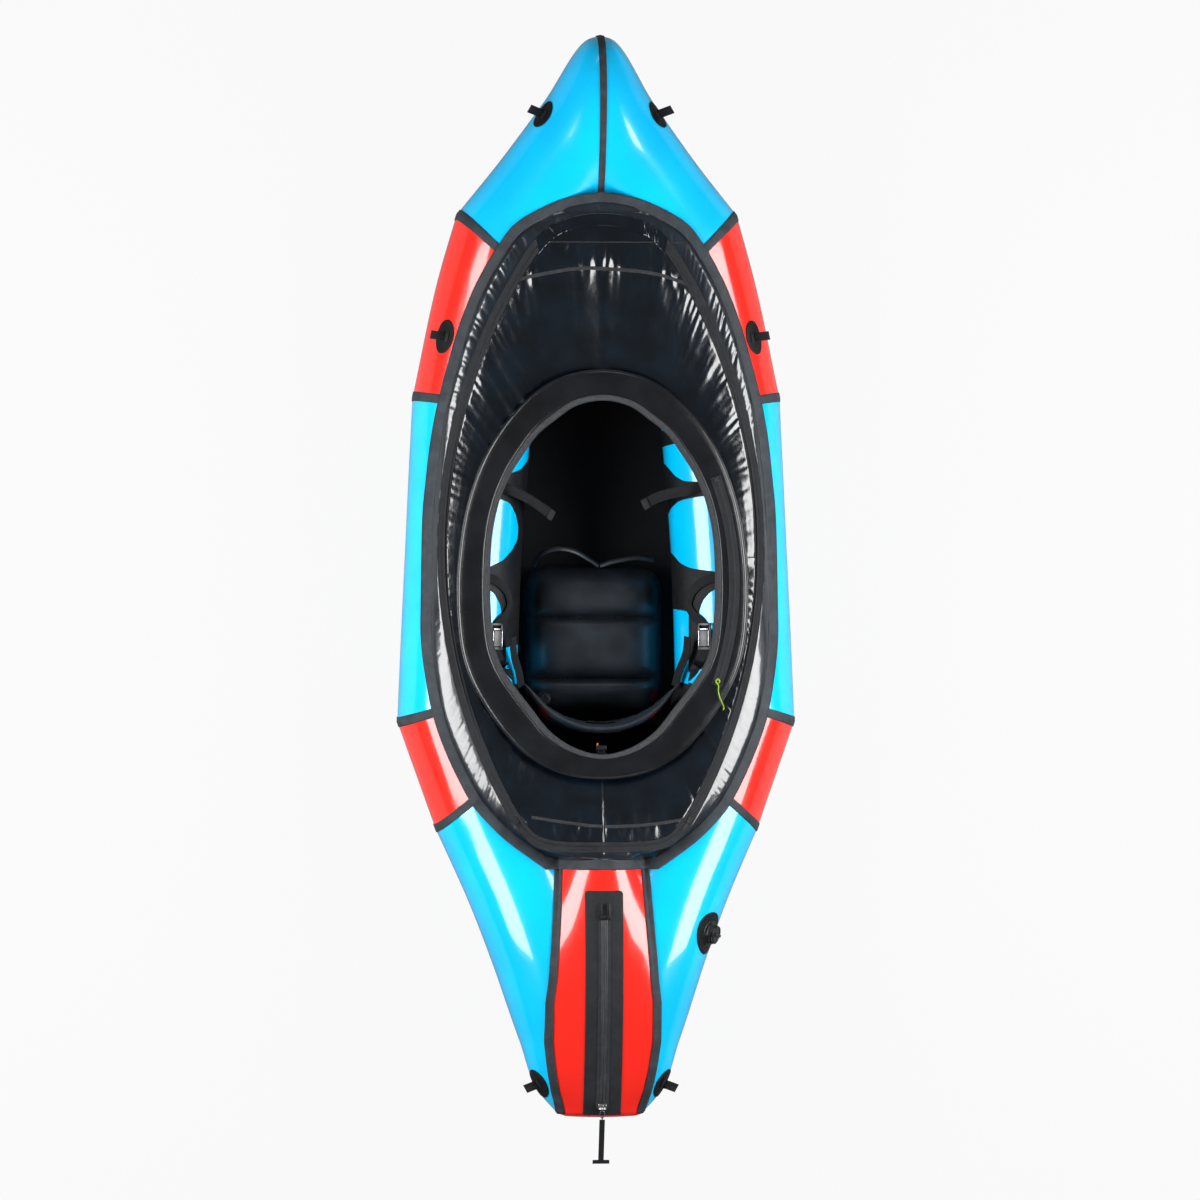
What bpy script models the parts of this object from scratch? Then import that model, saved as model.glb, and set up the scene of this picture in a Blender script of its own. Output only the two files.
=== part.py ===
"""Packraft with a zipped deck: hull panels, deck, coaming, seat and fittings.

Metres, +Z up, bow towards +Y. The origin is under the middle of the whole length, on the ground.
The hull is a chain of slanted rings. A ring is given by its outer and inner ends in plan, and each
panel is a thin skin over the rings from one seam to the next.
"""

import math

import bmesh
import bpy
import numpy as np
from mathutils import Matrix, Vector
from mathutils.bvhtree import BVHTree

for item in list(bpy.data.objects):
    bpy.data.objects.remove(item, do_unlink=True)

# Driving sizes
hull_length = 2.5
hull_half_width = 0.4637
pull_overhang = 0.104
tube_half_height = 0.14
bow_rise = 0.105
stern_rise = 0.102
touch_gap = 0.0003
seam_gap = 0.00015
skin = 0.001
tape_thick = 0.0012
tape_half = 0.0098
floor_thick = 0.0015
strip_width = 0.0255
deck_thick = 0.0012
deck_clear = 0.0025
far = 1.0

bow_y = (hull_length + pull_overhang) / 2
tube_middle = tube_half_height + floor_thick + touch_gap

# Colours
blue = (0.0, 0.42, 0.86)
red = (0.83, 0.035, 0.02)
tape_grey = (0.035, 0.042, 0.05)
deck_black = (0.008, 0.009, 0.012)
web_black = (0.012, 0.012, 0.014)
chrome_grey = (0.62, 0.62, 0.64)
neon = (0.55, 0.8, 0.02)

# Shares along the hull, from the bow
bow_curve_share = 0.263
stern_curve_share = 0.651

# Ring shares: outer end across and along, inner end across and along, half height over the tube's
ring_shares = (
    (0.0, 0.0, 0.0, 0.1739, 1.0),
    (0.0599, 0.0028, 0.0399, 0.1841, 1.0),
    (0.2718, 0.0592, 0.0898, 0.1961, 1.0),
    (0.4539, 0.1055, 0.1297, 0.2063, 1.0),
    (0.7032, 0.1637, 0.2544, 0.247, 1.0),
    (0.782, 0.2147, 0.2444, 0.2722, 1.0),
    (0.9227, 0.333, 0.3242, 0.3497, 1.0),
    (0.9626, 0.4847, 0.3791, 0.4847, 1.0),
    (0.9975, 0.6346, 0.399, 0.6013, 1.0),
    (0.808, 0.7345, 0.3292, 0.6559, 1.02),
    (0.7406, 0.7623, 0.1945, 0.7151, 1.04),
    (0.6409, 0.8048, 0.0349, 0.7845, 1.08),
    (0.5387, 0.8548, -0.0648, 0.8548, 1.07),
    (0.4015, 0.9288, -0.197, 0.9288, 0.83),
    (0.2994, 0.978, -0.2095, 0.978, 0.5),
    (0.2095, 0.997, -0.2095, 0.997, 0.315),
)
ring_segments = 32
bow_ring, shoulder_seam, side_seam, hip_seam, stern_seam, end_ring = 0, 4, 6, 8, 9, 15
closed_end_ring = 11


def plan(across, along):
    """Point in plan from shares of the half width and of the hull's length behind the bow."""
    return Vector((across * hull_half_width, bow_y - along * hull_length, 0))


def share_along(y):
    return (bow_y - y) / hull_length


def middle_height(along):
    """Height of the tube's middle at a share along the hull."""
    if along < bow_curve_share:
        rise = (bow_curve_share - along) / bow_curve_share
        return tube_middle + bow_rise * rise * rise
    rise = min(1, max(0, (along - stern_curve_share) / (1 - stern_curve_share)))
    return tube_middle + stern_rise * rise * rise * (3 - 2 * rise)


def make_ring(shares):
    outer = plan(shares[0], shares[1])
    inner = plan(shares[2], shares[3])
    outer.z = middle_height(shares[1])
    inner.z = middle_height(shares[3])
    return outer, inner, tube_half_height * shares[4]


rings = [make_ring(shares) for shares in ring_shares]


def ring_at(place):
    """Ring at a whole or part number along the chain, negative ones mirrored to the left."""
    side = -1 if place < 0 else 1
    low = min(int(abs(place)), len(rings) - 2)
    part = abs(place) - low
    a, b = rings[low], rings[low + 1]
    outer = a[0].lerp(b[0], part)
    inner = a[1].lerp(b[1], part)
    outer.x *= side
    inner.x *= side
    return outer, inner, a[2] + (b[2] - a[2]) * part


def ring_loop(place, offset, angles):
    """Points of a ring at some angles from its outer end, moved out from the skin."""
    outer, inner, half_height = ring_at(place)
    middle = (outer + inner) / 2
    arm = (outer - inner) / 2 * (1 + offset / tube_half_height)
    lift = Vector((0, 0, half_height + offset))
    return [middle + arm * math.cos(angle) + lift * math.sin(angle) for angle in angles]


whole_turn = [2 * math.pi * k / ring_segments for k in range(ring_segments)]


def ring_step(place, length):
    """The share of the next ring interval that a length along the hull's outside takes."""
    low = min(int(place), len(rings) - 2)
    return length / (rings[low + 1][0] - rings[low][0]).length


# Looks
def make_look(name, colour, rough, metal=0.0):
    look = bpy.data.materials.new(name)
    look.use_nodes = True
    shader = look.node_tree.nodes["Principled BSDF"]
    shader.inputs["Base Color"].default_value = (*colour, 1)
    shader.inputs["Roughness"].default_value = rough
    shader.inputs["Metallic"].default_value = metal
    look.diffuse_color = (*colour, 1)
    return look


looks = {
    "blue": make_look("blue_coated_cloth", blue, 0.35),
    "red": make_look("red_coated_cloth", red, 0.35),
    "tape": make_look("grey_tape", tape_grey, 0.6),
    "deck": make_look("black_deck_cloth", deck_black, 0.25),
    "web": make_look("black_webbing", web_black, 0.75),
    "plastic": make_look("black_plastic", deck_black, 0.3),
    "chrome": make_look("bright_metal", chrome_grey, 0.2, 1.0),
    "neon": make_look("neon_cord", neon, 0.6),
}


def add_body(name, points, faces, look, smooth_degrees=40):
    """Object from points and faces, with its faces turned out."""
    mesh = bpy.data.meshes.new(name)
    mesh.from_pydata([tuple(point) for point in points], [], faces)
    shape = bmesh.new()
    shape.from_mesh(mesh)
    bmesh.ops.recalc_face_normals(shape, faces=shape.faces)
    shape.to_mesh(mesh)
    shape.free()
    item = bpy.data.objects.new(name, mesh)
    bpy.context.scene.collection.objects.link(item)
    mesh.materials.append(looks[look])
    mesh.shade_smooth()
    mesh.set_sharp_from_angle(angle=math.radians(smooth_degrees))
    return item


def quad_halves(a, a_next, b, b_next):
    """Two triangles for a face between two rings, split the same way on every skin."""
    return [(a, a_next, b_next), (a, b_next, b)]


def add_loft(name, loops, look, ring=False, smooth_degrees=40, flipped=0):
    """Closed body through loops of equal length, with end caps unless it closes on itself."""
    count = len(loops[0])
    points = [point for loop in loops for point in loop]
    faces = []
    spans = len(loops) if ring else len(loops) - 1
    for row in range(spans):
        here = row * count
        there = (row + 1) % len(loops) * count
        for k in range(count):
            after = (k + 1) % count
            if row < flipped:
                faces += quad_halves(there + k, there + after, here + k, here + after)
            else:
                faces += quad_halves(here + k, here + after, there + k, there + after)
    if not ring:
        faces.append(tuple(range(count)))
        faces.append(tuple(range((len(loops) - 1) * count, len(loops) * count)))
    return add_body(name, points, faces, look, smooth_degrees)


def add_sheet(name, top, bottom, look, around=False, smooth_degrees=40):
    """Closed sheet between two grids of points, row by row. Around joins the last row to the first."""
    count = len(top[0])
    half = len(top) * count
    points = [point for row in top for point in row] + [point for row in bottom for point in row]
    faces = []
    for row in range(len(top) if around else len(top) - 1):
        here = row * count
        there = (row + 1) % len(top) * count
        for k in range(count - 1):
            for base in (0, half):
                faces += quad_halves(base + here + k, base + here + k + 1, base + there + k, base + there + k + 1)
        for k in (0, count - 1):
            faces.append((here + k, there + k, half + there + k, half + here + k))
    if not around:
        for here in (0, (len(top) - 1) * count):
            for k in range(count - 1):
                faces.append((here + k, here + k + 1, half + here + k + 1, half + here + k))
    return add_body(name, points, faces, look, smooth_degrees)


def add_pipe_skin(name, places, look, side):
    """Thin skin over the rings at some places, open at both ends."""
    rows = []
    for place in places:
        rows.append((ring_loop(side * place, 0, whole_turn), ring_loop(side * place, -skin, whole_turn)))
    count = ring_segments
    points = []
    for outside, inside in rows:
        points += outside + inside
    faces = []
    for row in range(len(rows)):
        here = row * 2 * count
        for k in range(count):
            after = (k + 1) % count
            if row in (0, len(rows) - 1):
                faces.append((here + k, here + after, here + count + after, here + count + k))
            if row < len(rows) - 1:
                there = here + 2 * count
                faces += quad_halves(here + k, here + after, there + k, there + after)
                faces += quad_halves(here + count + k, here + count + after, there + count + k, there + count + after)
    return add_body(name, points, faces, look, smooth_degrees=12)


def add_prism(name, outline, low, high):
    """Upright solid over a closed outline in plan."""
    count = len(outline)
    points = [Vector((p[0], p[1], low)) for p in outline] + [Vector((p[0], p[1], high)) for p in outline]
    faces = [tuple(range(count)), tuple(range(count, 2 * count))]
    for k in range(count):
        after = (k + 1) % count
        faces.append((k, after, count + after, count + k))
    return add_body(name, points, faces, "tape")


def combine(target, tool, operation, smooth_degrees=40):
    """Cut, join or keep the common part of two solids, and drop the tool."""
    tool.hide_render = True
    tool.display_type = "WIRE"
    step = target.modifiers.new("step", "BOOLEAN")
    step.solver = "EXACT"
    step.operation = operation
    step.object = tool
    graph = bpy.context.evaluated_depsgraph_get()
    result = bpy.data.meshes.new_from_object(target.evaluated_get(graph))
    target.modifiers.clear()
    target.data = result
    result.shade_smooth()
    result.set_sharp_from_angle(angle=math.radians(smooth_degrees))
    bpy.data.objects.remove(tool, do_unlink=True)


def smooth_curve(points, steps):
    """Points along a curve that passes through the given ones."""
    out = []
    last = len(points) - 1
    for k in range(last):
        a, b, c, d = points[max(k - 1, 0)], points[k], points[k + 1], points[min(k + 2, last)]
        for step in range(steps):
            t = step / steps
            out.append(0.5 * (2 * b + (c - a) * t + (2 * a - 5 * b + 4 * c - d) * t ** 2
                              + (3 * b - a - 3 * c + d) * t ** 3))
    out.append(points[-1].copy())
    return out


def mirrored(points):
    return [Vector((-p.x, p.y, p.z)) for p in points]


# Hull panels
panel_runs = (
    ("bow_panel", bow_ring, shoulder_seam, "blue"),
    ("shoulder_panel", shoulder_seam, side_seam, "red"),
    ("side_panel", side_seam, hip_seam, "blue"),
    ("hip_panel", hip_seam, stern_seam, "red"),
    ("stern_panel", stern_seam, end_ring, "blue"),
)
sides = (("right", 1), ("left", -1))
panels = {}
for panel_name, first, last, panel_look in panel_runs:
    pull_first = ring_step(first, seam_gap)
    pull_last = ring_step(last - 1, seam_gap) if last < end_ring else 0
    panel_places = [first + pull_first] + list(range(first + 1, last)) + [last - pull_last]
    for side_name, side_sign in sides:
        item_name = f"{panel_name}_{side_name}"
        panels[item_name] = add_pipe_skin(item_name, panel_places, panel_look, side_sign)


def skin_faces(offset=0.0):
    """Points and faces of both tubes' outsides, for finding heights on the hull."""
    points, faces = [], []
    for sign in (1, -1):
        for place in range(len(rings)):
            points += ring_loop(sign * place if place else sign * 1e-9, offset, whole_turn)
    for part in range(2):
        for row in range(len(rings) - 1):
            here = (part * len(rings) + row) * ring_segments
            for k in range(ring_segments):
                after = (k + 1) % ring_segments
                there = here + ring_segments
                faces += quad_halves(here + k, here + after, there + k, there + after)
    return points, faces


tube_tree = BVHTree.FromPolygons(*skin_faces())
down = Vector((0, 0, -1))


def top_height(tree, x, y, missing=0.0):
    hit = tree.ray_cast(Vector((x, y, far)), down)[0]
    return hit.z if hit else missing


# Tail panel over the stern, with a ridge that is an arc about a level axis
ridge_radius = 1.0
ridge_top = 0.377
ridge_along = 0.8455
tail_edge_shares = ((0.757, 0.212), (0.80, 0.226), (0.8363, 0.2394), (0.8733, 0.2544), (0.8918, 0.2673),
                    (0.9288, 0.2693), (0.9565, 0.2494), (0.975, 0.2294), (0.99, 0.2045), (0.997, 0.198))
patch_half = 0.0435
patch_along = 0.788
cut_low = 0.246
ridge_y = plan(0, ridge_along).y
ridge_axis = Vector((0, ridge_y, ridge_top - ridge_radius))
tail_alongs = [0.757, 0.7745, patch_along, 0.805, 0.8235, 0.842, 0.8605, 0.879, 0.8975, 0.916, 0.9345, 0.953,
               0.9695, 0.984, 0.997]


def ridge_height(y):
    return ridge_axis.z + math.sqrt(ridge_radius ** 2 - (y - ridge_y) ** 2)


def tail_edge(along):
    alongs = [pair[0] for pair in tail_edge_shares]
    widths = [pair[1] for pair in tail_edge_shares]
    return float(np.interp(along, alongs, widths)) * hull_half_width


def tail_height(x, along):
    """Height of the tail panel's outside."""
    y = plan(0, along).y
    edge = tail_edge(along)
    seam = top_height(tube_tree, edge, y)
    ridge = ridge_height(y)
    return ridge - (ridge - seam) * (x / edge) ** 2


def tail_columns(edge):
    half = [0, patch_half / 2, patch_half, (patch_half + edge) / 2, edge]
    return [-x for x in reversed(half[1:])] + half


tail_top, tail_bottom = [], []
for along in tail_alongs:
    edge = tail_edge(along) - seam_gap
    row = [Vector((x, plan(0, along).y, tail_height(x, along))) for x in tail_columns(edge)]
    tail_top.append(row)
    tail_bottom.append([point - Vector((0, 0, skin)) for point in row])
tail_panel = add_sheet("tail_panel", tail_top, tail_bottom, "red")

tail_cut_outline = [Vector((tail_edge(along) + seam_gap, plan(0, along).y, 0)) for along in tail_alongs]
tail_cut_outline[0].y += 2 * seam_gap
tail_cut_outline.append(tail_cut_outline[-1] + Vector((0, -tape_half, 0)))
tail_cut_outline += mirrored(reversed(tail_cut_outline))
for side_name, side_sign in sides:
    stern = panels[f"stern_panel_{side_name}"]
    combine(stern, add_prism("tail_cut", tail_cut_outline, cut_low, far), "DIFFERENCE", 12)
    middle_cut = [Vector((side_sign * seam_gap, -2 * hull_length, 0)), Vector((side_sign * seam_gap, hull_length, 0)),
                  Vector((-side_sign * far, hull_length, 0)), Vector((-side_sign * far, -2 * hull_length, 0))]
    combine(stern, add_prism("middle_cut", middle_cut, -far, far), "DIFFERENCE", 12)

tail_faces = []
for row in range(len(tail_top) - 1):
    for k in range(len(tail_top[0]) - 1):
        here = row * len(tail_top[0]) + k
        tail_faces.append((here, here + 1, here + len(tail_top[0]) + 1, here + len(tail_top[0])))
tail_tree = BVHTree.FromPolygons([point for row in tail_top for point in row], tail_faces)


def hull_height(x, y):
    """Height of the finished hull's outside, tubes and tail panel together."""
    return max(top_height(tube_tree, x, y), top_height(tail_tree, x, y))


# Seam tapes
tape_turns = [whole_turn[1] * k for k in range(-7, 9)]

# Deck strip outline shares, front middle to rear corner
strip_shares = ((0.0, 0.145), (0.197, 0.152), (0.397, 0.17), (0.496, 0.189), (0.613, 0.226), (0.696, 0.263),
                (0.756, 0.3), (0.808, 0.337), (0.845, 0.374), (0.868, 0.411), (0.885, 0.448), (0.893, 0.522),
                (0.893, 0.559), (0.87, 0.596), (0.83, 0.633), (0.756, 0.67), (0.656, 0.707), (0.581, 0.725),
                (0.476, 0.744), (0.342, 0.762), (0.279, 0.77), (0.14, 0.77), (0.0, 0.77))
strip_points = [plan(across, along) for across, along in strip_shares]
strip_outer = smooth_curve(strip_points[:21], 2) + strip_points[21:]


def moved_in(curve, distance):
    """Curve moved sideways towards the deck's middle."""
    out = []
    for k, point in enumerate(curve):
        before = curve[k - 1] if k else Vector((-curve[1].x, curve[1].y, 0))
        after = curve[k + 1] if k < len(curve) - 1 else Vector((-curve[-2].x, curve[-2].y, 0))
        run = (after - before).normalized()
        out.append(point + Vector((run.y, -run.x, 0)) * distance)
    out[0].x = 0
    out[-1].x = 0
    return out


strip_inner = moved_in(strip_outer, strip_width)
deck_area = strip_outer + mirrored(reversed(strip_outer[1:-1]))


def tape_loops(place, half_steps, offset):
    """Three ring lines of a seam tape: before the seam, on it and after it."""
    return [ring_loop(place + step, offset, tape_turns) for step in half_steps]


def add_seam_tape(name, place, sign):
    before = -ring_step(place - 1, tape_half)
    after = ring_step(place, tape_half)
    top = tape_loops(place, (before, 0, after), touch_gap + tape_thick)
    bottom = tape_loops(place, (before, 0, after), touch_gap)
    if sign < 0:
        top = [mirrored(line) for line in top]
        bottom = [mirrored(line) for line in bottom]
    tape = add_sheet(name, top, bottom, "tape")
    grown = [point + point.normalized() * touch_gap for point in deck_area]
    combine(tape, add_prism("deck_cut", grown, 0, far), "DIFFERENCE")
    return tape


seam_places = (("bow", shoulder_seam), ("shoulder", side_seam), ("hip", hip_seam), ("stern", stern_seam))
for seam_name, seam_place in seam_places:
    for side_name, side_sign in sides:
        add_seam_tape(f"{seam_name}_seam_tape_{side_name}", seam_place, side_sign)

bow_turns = [whole_turn[1] * k for k in range(-4, 11)]
bow_step = ring_step(bow_ring, tape_half)
bow_tape_places = (-bow_step, 1e-9, bow_step)
bow_tape = add_sheet("bow_ridge_tape", [ring_loop(place, touch_gap + tape_thick, bow_turns) for place in bow_tape_places],
                     [ring_loop(place, touch_gap, bow_turns) for place in bow_tape_places], "tape")
combine(bow_tape, add_prism("deck_cut", [point + point.normalized() * touch_gap for point in deck_area], 0, far),
        "DIFFERENCE")


def drape(x, y, offset, direction=down, start=None):
    """Point on the hull under a place in plan, or along a direction, moved out along the surface."""
    origin = start or Vector((x, y, far))
    best, best_normal = None, None
    for tree in (tube_tree, tail_tree):
        spot, normal, _, distance = tree.ray_cast(origin, direction)
        if spot and (best is None or distance < (best - origin).length):
            best, best_normal = spot, normal
    if best_normal.dot(direction) > 0:
        best_normal = -best_normal
    return best + best_normal * offset, best_normal


loose_gap = 0.001

# Tapes over the two tail seams
fine_tail = [tail_alongs[1] + 0.002 + (tail_alongs[-1] - tail_alongs[1] - 0.003) * k / 28 for k in range(29)]
for side_name, side_sign in sides:
    top, bottom = [], []
    for along in fine_tail:
        y = plan(0, along).y
        edge = tail_edge(along)
        spread = tape_half
        lifted = []
        widest = edge + spread
        while tube_tree.ray_cast(Vector((widest + loose_gap, y, far)), down)[0] is None:
            widest -= loose_gap
        for offset in (1.6 * loose_gap + tape_thick, 1.6 * loose_gap):
            outside = drape(widest, y, offset)[0]
            inside = drape(edge - spread, y, offset)[0]
            middle, normal = drape(edge + 0.001, y, 0)
            normal = (normal + drape(edge - 0.001, y, 0)[1]).normalized()
            lifted.append([outside, middle + normal * (offset + 0.0006), inside])
        if side_sign < 0:
            lifted = [mirrored(line) for line in lifted]
        top.append(lifted[0])
        bottom.append(lifted[1])
    add_sheet(f"tail_seam_tape_{side_name}", top, bottom, "tape")

# Deck strip: the hull's own surface between two offsets, inside the strip's outline
corner = 40
arm_outer = strip_outer[:corner + 1]
arm_inner = moved_in(arm_outer, strip_width)
arm_inner[-1] = Vector((arm_outer[-1].x, arm_outer[-1].y + strip_width, 0))
strip_outline = (list(reversed(mirrored(arm_outer[1:]))) + arm_outer + list(reversed(arm_inner))
                 + mirrored(arm_inner[1:]))


def add_horseshoe(name, offset):
    places = [-place for place in range(closed_end_ring, 0, -1)] + [1e-9] + list(range(1, closed_end_ring + 1))
    return add_loft(name, [ring_loop(place, offset, whole_turn) for place in places], "tape", flipped=closed_end_ring)


deck_strip = add_prism("deck_strip", strip_outline, tube_middle, far)
combine(deck_strip, add_horseshoe("strip_outside", touch_gap + tape_thick), "INTERSECT")
combine(deck_strip, add_horseshoe("strip_inside", touch_gap), "DIFFERENCE")

rear_y = strip_points[-1].y
corner_x = arm_outer[-1].x + 0.003
tail_x = tail_edge(0.764) + 0.0005
rear_wing = [tail_x + (corner_x - tail_x) * k / 4 for k in range(1, 5)]
rear_columns = [-x for x in reversed(rear_wing)] + tail_columns(tail_x) + rear_wing
rear_rows = []
for thick in (tape_thick, 0):
    rear_rows.append([[drape(x, y, thick + loose_gap * (2.4 if abs(x) < corner_x - 0.006 else 0.8))[0]
                       for x in rear_columns]
                      for y in [rear_y + 0.0004 + (strip_width - 0.0008) * k / 4 for k in range(5)]])
combine(deck_strip, add_sheet("strip_rear", rear_rows[0], rear_rows[1], "tape"), "UNION")

# Cap that closes the stern
cap_depth = 0.0065
lower_degrees = [math.radians(degree) for degree in range(-10, -171, -20)]
cap_outline = list(tail_top[-1])
cap_outline += [point for point in ring_loop(end_ring, 0, lower_degrees)]
cap_middle = sum(cap_outline, Vector()) / len(cap_outline)
cap_loops = []
for scale, back in ((1.0, touch_gap), (0.97, cap_depth * 0.45), (0.82, cap_depth * 0.85), (0.5, cap_depth)):
    cap_loops.append([cap_middle + (point - cap_middle) * scale - Vector((0, back, 0)) for point in cap_outline])
add_loft("stern_cap", cap_loops, "red")

# Floor sheet under both tubes
floor_shares = ((0.105, 0.05), (0.128, 0.19), (0.155, 0.31), (0.205, 0.5), (0.25, 0.545), (0.341, 0.655),
                (0.485, 0.7), (0.618, 0.73), (0.695, 0.6), (0.738, 0.5), (0.795, 0.37), (0.855, 0.27),
                (0.93, 0.13), (0.97, 0.07))
floor_rows = 40
rows_top, rows_bottom = [], []
for row in range(floor_rows + 1):
    along = floor_shares[0][0] + (floor_shares[-1][0] - floor_shares[0][0]) * row / floor_rows
    half = float(np.interp(along, [pair[0] for pair in floor_shares], [pair[1] for pair in floor_shares]))
    half *= hull_half_width
    y = plan(0, along).y
    low = far
    for step in (-1, 0, 1):
        for k in range(121):
            hit = tube_tree.ray_cast(Vector((half * k / 120 + seam_gap, y + step * 0.012, -far)), -down)[0]
            if hit:
                low = min(low, hit.z)
    low -= touch_gap
    rows_top.append([Vector((half * k / 2, y, low)) for k in (-2, -1, 0, 1, 2)])
    rows_bottom.append([Vector((point.x, point.y, point.z - floor_thick)) for point in rows_top[-1]])
floor_sheet = add_sheet("floor_sheet", rows_top, rows_bottom, "web")


def floor_height(y):
    heights = [(row[0].y, row[0].z) for row in rows_top]
    heights.sort()
    return float(np.interp(y, [pair[0] for pair in heights], [pair[1] for pair in heights]))


# Upright bulkhead between the stern tubes
wall_y = plan(0, 0.771).y
wall_low = floor_height(wall_y) - floor_thick / 2
wall_high = ridge_height(wall_y) - 0.004
wall_rows = 12
wall_front, wall_back = [], []
for row in range(wall_rows + 1):
    z = wall_low + (wall_high - wall_low) * row / wall_rows
    reach = far
    for step in (-0.004, 0, 0.004):
        hit = tube_tree.ray_cast(Vector((0, wall_y + step, z)), Vector((1, 0, 0)))[0]
        reach = min(reach, hit.x if hit else far)
    tail_reach = 0.0
    for k in range(60):
        x = tail_edge(0.771) * k / 60
        if tail_height(x, 0.771) - skin - 0.003 > z:
            tail_reach = x
    reach = max(min(reach, tail_reach + 0.0001) - 0.002, 0.003)
    line = [Vector((reach * k / 3, wall_y, z)) for k in range(-3, 4)]
    wall_front.append(line)
    wall_back.append([point - Vector((0, skin, 0)) for point in line])
combine(floor_sheet, add_sheet("bulkhead", wall_front, wall_back, "web"), "UNION")


# Deck: rows of stations on rays from a hub inside the cockpit
hub = plan(0, 0.4847)
stations = 34


def polar_table(curve):
    """Angles and distances of a curve on the right of the hub, with heights."""
    table = []
    for point in curve:
        arm = Vector((point.x - hub.x, point.y - hub.y))
        table.append((math.atan2(arm.y, arm.x), arm.length, point.z))
    table.sort()
    return np.array(table)


def reach_at(table, angle):
    return float(np.interp(angle, table[:, 0], table[:, 1]))


def rise_at(table, angle):
    return float(np.interp(angle, table[:, 0], table[:, 2]))


def spread_angles(curve, count):
    """Ray angles of points spread evenly along a curve."""
    lengths = [0.0]
    for a, b in zip(curve, curve[1:]):
        lengths.append(lengths[-1] + (b - a).length)
    out = []
    for k in range(count + 1):
        want = lengths[-1] * k / count
        x = float(np.interp(want, lengths, [point.x for point in curve]))
        y = float(np.interp(want, lengths, [point.y for point in curve]))
        out.append(math.atan2(y - hub.y, x - hub.x))
    return out


def circle_through(a, b, c):
    """Centre, axis, radius of the circle through three points."""
    ab, ac = b - a, c - a
    axis = ab.cross(ac)
    centre = a + (axis.cross(ab) * ac.length_squared + ac.cross(axis) * ab.length_squared) / (2 * axis.length_squared)
    return centre, axis.normalized(), (a - centre).length


# Deck zip path: an arc in a tilted plane on each side, closed across the front and the rear
zip_half = 0.011
zip_front = plan(0.2793, 0.1822) + Vector((0, 0, 0.307))
zip_middle = plan(0.788, 0.4958) + Vector((0, 0, 0.284))
zip_rear = plan(0.379, 0.74) + Vector((0, 0, 0.332))
zip_centre, zip_axis, zip_radius = circle_through(zip_front, zip_middle, zip_rear)
zip_sweep = zip_axis.dot((zip_front - zip_centre).cross(zip_rear - zip_centre))
zip_turn = math.asin(min(1, abs(zip_sweep) / zip_radius ** 2))
if (zip_front - zip_centre).dot(zip_rear - zip_centre) < 0:
    zip_turn = math.pi - zip_turn
zip_steps = 40
zip_arc = []
for k in range(zip_steps + 1):
    turn = Matrix.Rotation(math.copysign(zip_turn, zip_sweep) * k / zip_steps, 3, zip_axis)
    zip_arc.append(zip_centre + turn @ (zip_front - zip_centre))
zip_front_middle = plan(0, 0.1693) + Vector((0, 0, 0.268))
zip_rear_middle = plan(0, 0.749) + Vector((0, 0, 0.362))
zip_path = [zip_front_middle, plan(0.14, 0.1725) + Vector((0, 0, 0.297))] + zip_arc
zip_path += [plan(0.3, 0.7475) + Vector((0, 0, 0.335)), plan(0.15, 0.749) + Vector((0, 0, 0.352)), zip_rear_middle]
zip_plane = zip_axis if zip_axis.z > 0 else -zip_axis


def beside_zip(distance):
    """Zip path moved towards the hub, staying in the zip's own plane along the arc."""
    flat = [Vector((point.x, point.y, 0)) for point in zip_path]
    moved = moved_in(flat, distance)
    out = []
    for k, point in enumerate(moved):
        step = point - flat[k]
        on_arc = 2 <= k < 2 + len(zip_arc)
        tilt = -(zip_plane.x * step.x + zip_plane.y * step.y) / zip_plane.z if on_arc else 0
        out.append(Vector((point.x, point.y, zip_path[k].z + tilt)))
    return out


# Coaming shares, front to rear: outer across and along, inner across and along
coaming_shares = (
    (0.0, 0.309, 0.0, 0.333), (0.175, 0.314, 0.14, 0.338), (0.309, 0.326, 0.249, 0.351),
    (0.419, 0.344, 0.339, 0.365), (0.519, 0.367, 0.419, 0.385), (0.603, 0.395, 0.484, 0.405),
    (0.668, 0.429, 0.544, 0.433), (0.708, 0.466, 0.579, 0.467), (0.728, 0.512, 0.589, 0.512),
    (0.713, 0.559, 0.576, 0.555), (0.668, 0.591, 0.539, 0.581), (0.589, 0.619, 0.469, 0.603),
    (0.489, 0.645, 0.379, 0.625), (0.374, 0.666, 0.279, 0.647), (0.209, 0.682, 0.15, 0.662),
    (0.0, 0.687, 0.0, 0.668))
coaming_top = 0.322
neck_low = 0.2945
neck_share = 0.5
coaming_outer = smooth_curve([plan(row[0], row[1]) for row in coaming_shares], 2)
coaming_inner = smooth_curve([plan(row[2], row[3]) for row in coaming_shares], 2)
neck_line = [a.lerp(b, neck_share + 0.035) for a, b in zip(coaming_inner, coaming_outer)]

outer_table = polar_table(moved_in(strip_outer, strip_width + 5 * touch_gap))
zip_out_table = polar_table(beside_zip(-zip_half))
zip_in_table = polar_table(beside_zip(zip_half))
neck_table = polar_table(neck_line)
angles = spread_angles(strip_outer, stations)
half_gap = touch_gap / 2


def deck_row(reaches, heights, clear):
    """Points of one deck row, lifted clear of the hull, right half then mirrored left half."""
    right = []
    for k, angle in enumerate(angles):
        ray = Vector((math.cos(angle), math.sin(angle), 0))
        spot = hub + ray * reaches[k]
        need = -far
        for other in (max(k - 1, 0), min(k + 1, stations)):
            middle = (angle + angles[other]) / 2
            reach = (reaches[k] + reaches[other]) / 2
            near = hub + Vector((math.cos(middle), math.sin(middle), 0)) * reach
            need = max(need, hull_height(near.x, near.y) + clear)
        need = max(need, hull_height(spot.x, spot.y) + clear)
        right.append(Vector((spot.x, spot.y, max(heights[k], need))))
    right[0].x = 0
    right[-1].x = 0
    return right


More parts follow.
